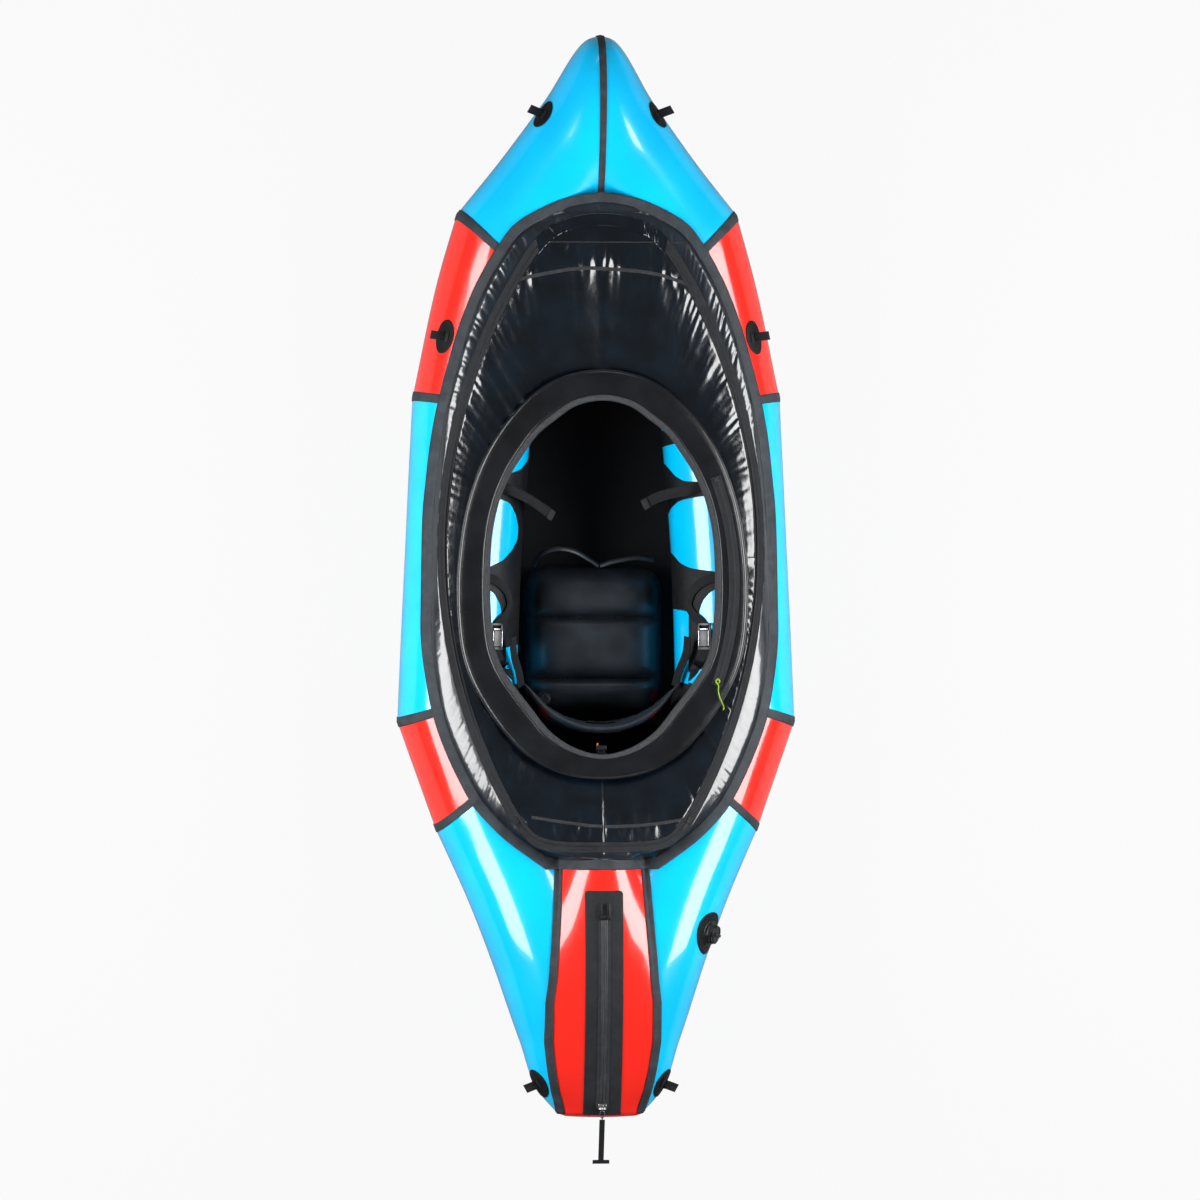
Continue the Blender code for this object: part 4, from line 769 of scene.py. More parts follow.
class PACKRAFT_OT_hull(bpy.types.Operator):
    """Ten tube panels, the tail panel and the stern's cap"""

    bl_idname = "packraft.hull"
    bl_label = "Hull panels"

    def execute(self, context):
        make_rings()
        make_tube_tree()
        skins = []
        for name, first, last, cloth in panel_runs:
            for side, sign in side_signs.items():
                skins.append(self.panel(name, side, sign, first, last, cloth))
        shapes["tail"] = tree_of(self.tail_panel())
        shapes["hull"] = tree_of(*skins)
        self.stern_cap()
        return {"FINISHED"}

    def panel(self, name, side, sign, first, last, cloth):
        # Rows follow the length of the tube, not the spacing of its rings
        runs = shapes["runs"]
        length = runs[last] - runs[first]
        rows = max(12, int(length / 0.009))

        def place(along, around):
            run = runs[first] + length * along
            spot = between(run, runs[first:last + 1], range(first, last + 1))
            return mirrored(hull_point(min(spot, last), 2 * math.pi * around - math.pi / 2), sign)

        shape = grid_shape(rows, 96, place, closed=True)
        return finish(shape, f"{name}_{side}_skin", cloth, stands_for=f"{name}_{side}", wall=skin_wall,
                      sharp=60.0)

    def tail_panel(self):
        def place(along, across):
            share = tail_first + (tail_last - tail_first) * along
            x = (2 * across - 1) * (tail_edge(share) - 0.0004)
            sag = 0.0012 * noise.noise(Vector((x * 16, share * 30, 2))) * min(1.0, (x / 0.035) ** 2)
            return plan(0, share, tail_height(x, share) + sag) + x_axis * x

        shape = grid_shape(90, 40, place, towards=z_axis)
        return finish(shape, "tail_panel_skin", "red_cloth", stands_for="tail_panel", wall=skin_wall)

    def stern_cap(self):
        """Domed cap over the end of both tubes."""
        end = len(ring_shares) - 1
        edge = [plan(0, tail_last, tail_height(x, tail_last)) + x_axis * x
                for x in np.linspace(-1, 1, 25) * tail_edge(tail_last)]
        low = [tube_point(end, math.radians(degree), 0.0, False) for degree in range(-8, -173, -8)]
        outline = edge + low
        middle = sum(outline, Vector()) / len(outline)
        depth = 0.0062

        def place(around, out):
            spot = outline[0] if around >= 1 else outline[int(around * len(outline)) % len(outline)]
            return middle + (spot - middle) * out - y_axis * (depth * math.sqrt(max(0, 1 - out ** 3)))

        shape = grid_shape(len(outline), 10, place, towards=-y_axis, closed=True)
        finish(shape, "stern_cap_skin", "red_cloth", stands_for="stern_cap", wall=skin_wall)


# Tapes and the deck's strip
# Strip's outer edge, front to rear: shares across and along
strip_shares = ((0.0, 0.145), (0.197, 0.152), (0.397, 0.17), (0.496, 0.189), (0.613, 0.226), (0.696, 0.263),
                (0.756, 0.3), (0.808, 0.337), (0.845, 0.374), (0.868, 0.411), (0.885, 0.448), (0.893, 0.522),
                (0.893, 0.559), (0.87, 0.596), (0.83, 0.633), (0.756, 0.67), (0.656, 0.707), (0.581, 0.725),
                (0.476, 0.744), (0.342, 0.762), (0.279, 0.77))


def strip_line(share):
    """Point in plan on the strip's outer edge, from the front round the right to the left."""
    share = share % 1.0
    right = share <= 0.5
    half = 2 * share if right else 2 - 2 * share
    curved = [plan(across, along) for across, along in strip_shares]
    bend = 0.9
    if half < bend:
        point = smooth_path(curved, half / bend)
    else:
        point = curved[-1].lerp(plan(0, strip_shares[-1][1]), (half - bend) / (1 - bend))
    if not right:
        point.x = -point.x
    return point


def beside_strip(share, distance):
    """Point in plan beside the strip's outer edge, moved towards the deck's middle."""
    spot = strip_line(share)
    run = strip_line(share + 0.004) - strip_line(share - 0.004)
    inward = Vector((run.y, -run.x, 0)).normalized()
    if inward.dot(shapes["hub"] - spot) < 0:
        inward = -inward
    return spot + inward * distance


class PACKRAFT_OT_tapes(bpy.types.Operator):
    """Tapes over the hull's seams, and the strip that holds the deck"""

    bl_idname = "packraft.tapes"
    bl_label = "Seam tapes"

    def execute(self, context):
        shapes["hub"] = plan(0, 0.4847)
        tapes = [self.ring_tape(name, seam, side, sign)
                 for name, seam in seam_rings.items() for side, sign in side_signs.items()]
        tapes.append(self.bow_tape())
        tapes += [self.tail_tape(side, sign) for side, sign in side_signs.items()]
        shapes["tapes"] = tree_of(*tapes)
        self.strip()
        return {"FINISHED"}

    def ring_tape(self, name, seam, side, sign):
        width = sizes_now("hull").tape
        runs = shapes["runs"]

        def place(along, across):
            run = runs[seam] + (across - 0.5) * width
            spot = between(run, runs, range(len(runs)))
            return mirrored(hull_point(spot, math.radians(-79 + 186 * along), tape_lift), sign)

        shape = grid_shape(90, 6, place)
        return finish(shape, f"{name}_seam_tape_{side}_cloth", "seam_tape",
                      stands_for=f"{name}_seam_tape_{side}", wall=skin_wall)

    def bow_tape(self):
        width = sizes_now("hull").tape

        def place(along, across):
            offset = (across - 0.5) * width
            spot = between(abs(offset), shapes["runs"], range(len(shapes["runs"])))
            point = hull_point(spot, math.radians(-45 + 184 * along), tape_lift)
            point.x = math.copysign(point.x, offset)
            return point

        shape = grid_shape(70, 8, place, towards=Vector((0, 0.4, 1)), smoothing=1)
        return finish(shape, "bow_ridge_tape_cloth", "seam_tape", stands_for="bow_ridge_tape",
                      wall=skin_wall, sharp=70.0)

    def tail_tape(self, side, sign):
        width = sizes_now("hull").tape
        first, last = 0.767, 0.9962

        def place(along, across):
            share = first + (last - first) * along
            x = tail_edge(share) + (0.5 - across) * width
            y = plan(0, share).y
            point = drape(x, y, tail_tape_lift, ("hull", "tail"))
            if point.z < 0.2:
                point = drape(x - 0.004, y, tail_tape_lift, ("hull", "tail"))
            return mirrored(point, sign)

        shape = grid_shape(90, 6, place, towards=z_axis, smoothing=3)
        return finish(shape, f"tail_seam_tape_{side}_cloth", "seam_tape",
                      stands_for=f"tail_seam_tape_{side}", wall=skin_wall)

    def strip(self):
        width = sizes_now("hull").strip

        def place(along, across):
            spot = beside_strip(along, across * width)
            # The tubes meet in a narrow notch at the rear and in a wide valley at the bow
            least = 0.016 if spot.y < 0 else 0.08
            point = drape(off_middle(spot.x, least), spot.y, 0.0018, ("hull", "tail", "tapes"))
            return Vector((spot.x, spot.y, point.z))

        shape = grid_shape(640, 6, place, towards=z_axis, closed=True, smoothing=4, stretch=(4.0, 1.0))
        finish(shape, "deck_strip_tape", "seam_tape", stands_for="deck_strip", wall=0.0011, offset=1.0)


# Deck
turn_count = 720


def rim_reach(names, outermost):
    """Distances from the hub to the outer or inner edge of some deck nodes, over an even turn."""
    hub = shapes["hub"]
    rays = []
    for name in names:
        for vertex in nodes[name].data.vertices:
            arm = vertex.co - hub
            rays.append((math.atan2(arm.y, arm.x) % (2 * math.pi), math.hypot(arm.x, arm.y)))
    rays.sort()
    groups = [[rays[0]]]
    for ray in rays[1:]:
        if ray[0] - groups[-1][-1][0] < 0.003:
            groups[-1].append(ray)
        else:
            groups.append([ray])
    pick = max if outermost else min
    turns = np.array([group[0][0] for group in groups])
    reaches = np.array([pick(ray[1] for ray in group) for group in groups])
    even = np.linspace(0, 2 * math.pi, turn_count, endpoint=False)
    return rounded(np.interp(even, turns, reaches, period=2 * math.pi), 6)


def rounded(values, reach):
    """Values round a closed loop, each averaged with its neighbours."""
    weights = np.hanning(2 * reach + 3)[1:-1]
    padded = np.concatenate((values[-reach:], values, values[:reach]))
    return np.convolve(padded, weights / weights.sum(), mode="valid")


def on_turn(table, turn):
    at = (turn % (2 * math.pi)) / (2 * math.pi) * turn_count
    low = int(at) % turn_count
    return float(table[low] + (table[(low + 1) % turn_count] - table[low]) * (at - int(at)))


def deck_turn(share):
    """Angle about the hub for a share of the deck's edge, evenly spaced along that edge."""
    return between(share % 1.0 if share < 1 else 1.0, shapes["deck_lengths"], shapes["deck_turns"])


def ray_at(turn):
    return Vector((math.cos(turn), math.sin(turn), 0))


def deck_spot(turn, reach):
    return shapes["hub"] + ray_at(turn) * reach


def deck_point(turn, reach, lift=0.0):
    """Point of the deck on a ray from the hub, over the narrow gaps between its parts."""
    spot = deck_spot(turn, reach)
    # The cloth spans the valley between the tubes at the bow
    least = 0.004 + 0.09 * clamped((spot.y - 0.76) / 0.08)
    height = -far
    for step in (-0.0016, 0.0, 0.0016):
        near = deck_spot(turn, reach + step)
        height = max(height, height_on(shapes["deck"], off_middle(near.x, least), near.y, -far))
    under = max(height_on(shapes[name], off_middle(spot.x, least), spot.y, -far) for name in ("hull", "tail"))
    return Vector((spot.x, spot.y, max(height, under + 0.0012) + lift))


def off_middle(x, least):
    """Sideways place, kept off the seam where left and right meet."""
    return math.copysign(max(abs(x), least), x)


def creases(along, across, seed):
    """Sharp little ridges that run across."""
    return 1 - 2.6 * abs(noise.noise(Vector((along, across, seed))))


front_seam_y = 0.823
front_band_y = 0.79
band_gap, tape_overrun = 0.011, 0.014
arched_seam = ((-0.207, 0.733), (-0.15, 0.746), (-0.067, 0.7605), (0.0, 0.762), (0.12, 0.75), (0.212, 0.722))
rear_seam = ((-0.165, -0.502), (-0.08, -0.515), (0.0, -0.523), (0.1, -0.52), (0.19, -0.508))


def seam_y(points, x):
    return between(x, [point[0] for point in points], [point[1] for point in points])


class PACKRAFT_OT_deck(bpy.types.Operator):
    """Deck cloth between the strip and the coaming, with its zips and sewn seams"""

    bl_idname = "packraft.deck"
    bl_label = "Deck"

    def execute(self, context):
        zips = ("deck_zip_right", "deck_zip_left")
        shapes["deck"] = tree_of(*(nodes[name] for name in ("deck_border", "deck_cover", *zips)))
        shapes["rim"] = rim_reach(("deck_border",), True)
        shapes["zip_out"] = rim_reach(zips, True)
        shapes["zip_in"] = rim_reach(zips, False)
        shapes["neck"] = rim_reach(("deck_cover",), False)
        turns = np.linspace(-math.pi / 2, 3 * math.pi / 2, 1441)
        spots = [deck_spot(turn, on_turn(shapes["zip_in"], turn)) for turn in turns]
        steps = [(b - a).length for a, b in zip(spots, spots[1:])]
        shapes["deck_turns"] = turns
        shapes["deck_run"] = sum(steps)
        shapes["deck_lengths"] = np.concatenate(([0.0], np.cumsum(steps) / sum(steps)))
        border = self.border()
        cover = self.cover()
        shapes["cloth"] = tree_of(border, cover)
        shares = np.linspace(0.0, 0.5, 401)
        reached = [share for share in shares if self.zip_y(share) > front_band_y]
        shapes["zip_end"] = float(reached[0])
        for side in side_signs:
            self.zip_tape(side)
        self.front_band()
        self.seam("front", [(x, front_seam_y) for x in np.linspace(-0.13, 0.2, 8)], 0.003)
        self.seam("arched", arched_seam, 0.0085)
        self.seam("rear", rear_seam, 0.0075)
        return {"FINISHED"}

    def border(self):
        """Shiny band outside the zips, gathered in places."""
        run = shapes["deck_run"]

        def place(along, across):
            turn = deck_turn(along)
            outer = on_turn(shapes["rim"], turn) + 0.007
            inner = on_turn(shapes["zip_out"], turn) - 0.003
            point = deck_point(turn, outer + (inner - outer) * across)
            # The edge tucks under the strip
            tuck = max(0.0, 1 - across / 0.2)
            point.z -= 0.0018 * tuck
            return point

        def relief(point, along, across):
            patchy = 0.5 + noise.noise(Vector((along * 23, 4.0, 0)))
            front = bell(abs(along - 0.5), 0.1, 0.06)
            slant = along * run / 0.011 + across * 1.4
            rise = math.sin(math.pi * min(1.0, across * 1.15)) ** 0.7
            depth = sizes_now("deck").gather * (0.2 + 0.7 * max(0.0, patchy) ** 2 + 0.7 * front)
            fine = noise.noise(point * 55.0) * 0.0003
            return (depth * creases(slant, across * 0.7, 3.0) * 0.6 + fine + 0.0012) * rise

        shape = grid_shape(1100, 12, place, towards=z_axis, closed=True, smoothing=3, relief=relief)
        item = finish(shape, "deck_border_cloth", "border_cloth", stands_for="deck_border", wall=deck_wall,
                      sharp=80.0)
        return item

    def cover(self):
        run = shapes["deck_run"]
        deck = sizes_now("deck")

        def place(along, across):
            turn = deck_turn(along)
            outer = on_turn(shapes["zip_in"], turn) + 0.003
            inner = on_turn(shapes["neck"], turn)
            return deck_point(turn, outer + (inner - outer) * across)

        def relief(point, along, across):
            turn = deck_turn(along)
            gone = (on_turn(shapes["zip_in"], turn) - on_turn(shapes["neck"], turn)) * across
            still = min(1.0, across / 0.06) * min(1.0, (1 - across) / 0.08)
            right = 1.0 if point.x > 0 else 0.55
            patchy = max(0.0, 0.55 + 0.9 * noise.noise(Vector((along * 17, 1.0, 8))))
            beside = 1.0 if 0.13 < along < 0.43 or 0.6 < along < 0.9 else 0.5
            depth = patchy * beside
            gathers = creases(along * run / 0.019, gone * 7, 5.0) * fade(gone, 0.045) * right * depth
            small = creases(along * run / 0.008, gone * 26, 9.0) * fade(gone, 0.013) * 0.5 * depth
            soft = noise.noise(point * 8.5) + 0.5 * noise.noise(point * 19.0)
            long_folds = creases(along * run / 0.055, gone * 3.5, 21.0) * bell(gone, 0.05, 0.05)
            corner = math.exp(-((point.x + 0.22) / 0.09) ** 2 - ((point.y - 0.44) / 0.1) ** 2)
            slanted = creases((point.x * 0.83 + point.y * 0.56) / 0.03,
                              (point.y * 0.83 - point.x * 0.56) * 5, 31.0)
            height = deck.gather * (1.5 * gathers + small)
            height += deck.fold * (0.42 * soft + 0.32 * long_folds + corner * slanted)
            arched = point.y - seam_y(arched_seam, point.x)
            front = point.y - front_seam_y
            if point.y > 0.6:
                bunches = creases(point.x / 0.027, arched * 6, 12.0) * fade(arched - 0.012, 0.028)
                rows = creases(point.x / 0.011, front * 15, 14.0) * fade(front, 0.016)
                height += 0.0055 * bunches + 0.0026 * rows
            if point.y < -0.44:
                rear = point.y - seam_y(rear_seam, point.x)
                height += 0.003 * creases(point.x / 0.024, rear * 12, 17.0) * fade(rear + 0.01, 0.025)
            return height * still

        shape = grid_shape(760, 56, place, towards=z_axis, closed=True, smoothing=10, relief=relief)
        item = finish(shape, "deck_cover_cloth", "deck_cloth", stands_for="deck_cover", wall=deck_wall,
                      sharp=80.0)
        # The piece is 0.719 x 1.433 m in plan, and the cloth rises a little on the way
        return item

    def zip_y(self, share):
        turn = deck_turn(share)
        return deck_spot(turn, on_turn(shapes["zip_out"], turn)).y

    def front_band(self):
        """Gathered cloth between the border and the deck, ahead of where the zips end."""
        first = shapes["zip_end"] + band_gap

        def place(along, across):
            turn = deck_turn(first + (1 - 2 * first) * along)
            outer = on_turn(shapes["zip_out"], turn) + 0.002
            inner = on_turn(shapes["zip_in"], turn) - 0.005
            # It lies low at both ends, just ahead of where the zips' sliders stop
            inside = min(1.0, 6 * min(along, 1 - along))
            return deck_point(turn, outer + (inner - outer) * across, 0.0002 + 0.0014 * inside)

        def relief(point, along, across):
            ends = bell(abs(2 * along - 1), 0.72, 0.3)
            slant = along * shapes["deck_run"] * (1 - 2 * first) / 0.012 + across * 1.1
            inside = clamped(6 * min(along, 1 - along) - 0.2)
            return inside * (0.0022 * ends * creases(slant, across, 3.0) + 0.0006 * noise.noise(point * 30.0))

        shape = grid_shape(260, 14, place, towards=z_axis, smoothing=5, relief=relief)
        finish(shape, "deck_front_band", "deck_cloth", wall=deck_wall, sharp=80.0)

    def zip_tape(self, side):
        """Flat tape with the zip's coil as a raised line near its inner edge."""
        sign = side_signs[side]
        end = shapes["zip_end"] + tape_overrun
        first, last = (0.0, end) if sign > 0 else (1 - end, 1.0)
        run = shapes["deck_run"] * shapes["zip_end"]

        def place(along, across):
            turn = deck_turn(first + (last - first) * along)
            outer = on_turn(shapes["zip_out"], turn) + 0.0012
            inner = on_turn(shapes["zip_in"], turn) - 0.0012
            reach = outer + (inner - outer) * across
            return deck_point(turn, reach, 0.0022)

        def relief(point, along, across):
            coil = bell(across, 0.7, 0.075, 4)
            stitch = bell(across, 0.16, 0.05)
            return 0.0019 * coil - 0.0004 * stitch + 0.0003 * noise.noise(point * 60.0)

        shape = grid_shape(500, 26, place, towards=z_axis, smoothing=4, relief=relief, stretch=(run, 1.0))
        finish(shape, f"deck_zip_tape_{side}", "zip_tape", stands_for=f"deck_zip_{side}", wall=tape_wall,
               sharp=60.0)

    def seam(self, name, points, width):
        """Bound seam: a narrow raised band across the deck cloth."""
        line = [Vector((x, y, 0)) for x, y in points]

        def place(along, across):
            spot = smooth_path(line, along)
            y = spot.y + (across - 0.5) * width
            height = height_on(shapes["cloth"], spot.x, y, -far)
            beside = height_on(shapes["deck"], spot.x, y, 0.0)
            arch = 0.0006 + 0.0008 * math.sin(math.pi * across)
            return Vector((spot.x, y, max(height, beside - 0.01) + arch))

        length = abs(points[-1][0] - points[0][0])
        shape = grid_shape(150, 6, place, towards=z_axis, smoothing=5, stretch=(length, 1.0))
        finish(shape, f"deck_{name}_seam", "binding", "deck_cloth", wall=tape_wall, sharp=60.0)


# Coaming
# Shares, front to rear: outer across and along, inner across and along
coaming_shares = (
    (0.0, 0.309, 0.0, 0.333), (0.175, 0.314, 0.14, 0.338), (0.309, 0.326, 0.249, 0.351),
    (0.419, 0.344, 0.339, 0.365), (0.519, 0.367, 0.419, 0.385), (0.603, 0.395, 0.484, 0.405),
    (0.668, 0.429, 0.544, 0.433), (0.708, 0.466, 0.579, 0.467), (0.728, 0.512, 0.589, 0.512),
    (0.713, 0.559, 0.576, 0.555), (0.668, 0.591, 0.539, 0.581), (0.589, 0.619, 0.469, 0.603),
    (0.489, 0.645, 0.379, 0.625), (0.374, 0.666, 0.279, 0.647), (0.209, 0.682, 0.15, 0.662),
    (0.0, 0.687, 0.0, 0.668))
# Profiles: share from the inner to the outer line, and height above the lip
sleeve_profile = ((0.03, 0.001), (0.03, 0.0055), (0.12, 0.0076), (0.35, 0.0084), (0.6, 0.0084), (0.8, 0.0076),
                  (0.87, 0.0062), (0.905, 0.0078), (0.95, 0.0088), (0.985, 0.0072), (1.0, 0.0035),
                  (0.985, 0.0),
                  (0.95, -0.0022), (0.905, -0.0018), (0.87, 0.0018), (0.7, 0.0036), (0.56, 0.003),
                  (0.53, -0.01), (0.54, -0.0278), (0.46, -0.0278), (0.47, -0.01), (0.44, 0.003), (0.2, 0.003))
binding_profile = ((-0.19, -0.0005), (-0.21, 0.0022), (-0.19, 0.0052), (-0.12, 0.0074), (-0.03, 0.0076),
                   (0.02, 0.0062), (0.015, 0.0012), (-0.04, -0.0026), (-0.12, -0.003))


def smooth_loop(points, share):
    """Point at a share of a smooth closed curve through some points."""
    count = len(points)
    at = (share % 1.0) * count
    k = int(at)
    t = at - k
    a, b, c, d = (points[(k + step) % count] for step in (-1, 0, 1, 2))
    return bend_between(a, b, c, d, t)


def flipped(points, sign):
    return [mirrored(point, sign) for point in points]


def closed_shape(columns, rows, place, relief=None, stretch=(1.0, 1.0)):
    """Closed mesh from a grid whose edges meet, facing outwards."""
    shape = grid_shape(columns, rows, place, closed=True, relief=relief, stretch=stretch)
    bmesh.ops.recalc_face_normals(shape, faces=shape.faces)
    return shape


def surface_way(tree, spot, reach=0.006):
    """Direction out of a surface seen from above, evened out over a small reach."""
    across = height_on(tree, spot.x + reach, spot.y) - height_on(tree, spot.x - reach, spot.y)
    along = height_on(tree, spot.x, spot.y + reach) - height_on(tree, spot.x, spot.y - reach)
    return Vector((-across, -along, 2 * reach)).normalized()


class PACKRAFT_OT_coaming(bpy.types.Operator):
    """Cockpit rim: sleeve over its rod, bound inner edge and short zip with its slider"""

    bl_idname = "packraft.coaming"
    bl_label = "Coaming"

    def execute(self, context):
        lines = []
        for k in (0, 2):
            half = [plan(row[k], row[k + 1]) for row in coaming_shares]
            lines.append(half + flipped(reversed(half[1:-1]), -1))
        self.outer, self.inner = lines
        self.band("coaming_sleeve_cloth", "coaming_sleeve", sleeve_profile, "sleeve_cloth", "deck_cloth",
                  640, 46)
        self.band("coaming_binding_tape", "coaming_binding", binding_profile, "binding", "seam_tape", 560, 18)
        self.zip()
        return {"FINISHED"}

    def band(self, name, node, profile, look, slot, columns, rows):
        top = sizes_now("deck").coaming_top
        corners = [Vector((u, v, 0)) for u, v in profile]

        def place(along, around):
            a, b = smooth_loop(self.inner, along), smooth_loop(self.outer, along)
            spot = smooth_loop(corners, around)
            return Vector((a.x + (b.x - a.x) * spot.x, a.y + (b.y - a.y) * spot.x, top + spot.y))

        def relief(point, along, across):
            if node == "coaming_binding" or point.z < top:
                return 0.0
            return 0.0005 * noise.noise(point * 13.0) + 0.00035 * noise.noise(point * 41.0) - 0.0003

        shape = closed_shape(columns, rows, place, relief, (3.3, 1.0))
        item = finish(shape, name, look, slot, stands_for=node, sharp=70.0)
        if node == "coaming_sleeve":
            shapes["sleeve"] = tree_of(item)

    def zip(self):
        """Short curved zip on the right of the sleeve, its slider and cord."""
        front, middle, rear = plan(0.566, 0.4107), plan(0.656, 0.506), plan(0.566, 0.6013)
        half_chord = (front.y - rear.y) / 2
        sagitta = middle.x - front.x
        radius = (half_chord ** 2 + sagitta ** 2) / (2 * sagitta)
        centre = Vector((middle.x - radius, (front.y + rear.y) / 2, 0))
        turn = math.asin(half_chord / radius)

        def place(along, across):
            angle = turn * (2 * along - 1)
            reach = radius + (across - 0.5) * 0.025
            spot = centre + ray_at(angle) * reach
            return Vector((spot.x, spot.y, height_on(shapes["sleeve"], spot.x, spot.y, 0.33) + 0.0011))

        def relief(point, along, across):
            coil = bell(across, 0.5, 0.11, 6)
            return 0.0017 * coil - 0.0004 * bell(abs(across - 0.5), 0.36, 0.05)

        length = 2 * turn * radius
        shape = grid_shape(260, 30, place, towards=z_axis, smoothing=6, relief=relief, stretch=(length, 1.0))
        finish(shape, "coaming_zip_tape", "zip_tape", stands_for="coaming_zip", wall=tape_wall, sharp=60.0)
        ray = ray_at(turn)
        end = centre + ray * radius
        end.z = height_on(shapes["sleeve"], end.x, end.y, 0.33) + 0.0022
        run = Vector((-ray.y, ray.x, 0))
        block("coaming_zip_end", end, (run, ray, z_axis), (0.015, 0.026, 0.0012), "webbing", bevel=0.0004)
        for side in (-1, 1):
            ways = ((run + ray * side).normalized(), (ray - run * side).normalized(), z_axis)
            name = f"coaming_zip_stitch_{'right' if side > 0 else 'left'}"
            block(name, end + z_axis * 0.0008, ways, (0.017, 0.0011, 0.0006), "binding", bevel=0.0002)
        rest = -turn * 0.97
        ray = ray_at(rest)
        run = Vector((-ray.y, ray.x, 0))
        spot = centre + ray * radius
        spot.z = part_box("coaming_zip_slider")[0].z + 0.0024
        block("coaming_slider_block", spot, (run, ray, z_axis), (0.013, 0.009, 0.0044), "plastic",
              body="coaming_zip_slider", stands_for="coaming_zip_slider", bevel=0.0014, taper=0.8)
        start = spot + z_axis * 0.0022
        turns = ((0.0, 0.0, 0.0), (0.0045, 0.004, 0.0022), (0.0005, 0.0105, 0.0034), (-0.0045, 0.004, 0.0032),
                 (0.0015, -0.0045, 0.0036), (0.0012, -0.016, 0.0016), (0.0035, -0.028, 0.0002),
                 (0.0085, -0.041, -0.0006), (0.014, -0.054, -0.001), (0.0125, -0.0625, -0.0012))
        knot = [start + Vector(offset) for offset in turns]
        cord = cord_piece("coaming_pull_cord", knot, 0.0013, "cord", body="coaming_zip_slider")
        path = [smooth_path(knot, k / 120) for k in range(121)]
        [list(point) for point in path]


# Seat
seat_half = 0.164


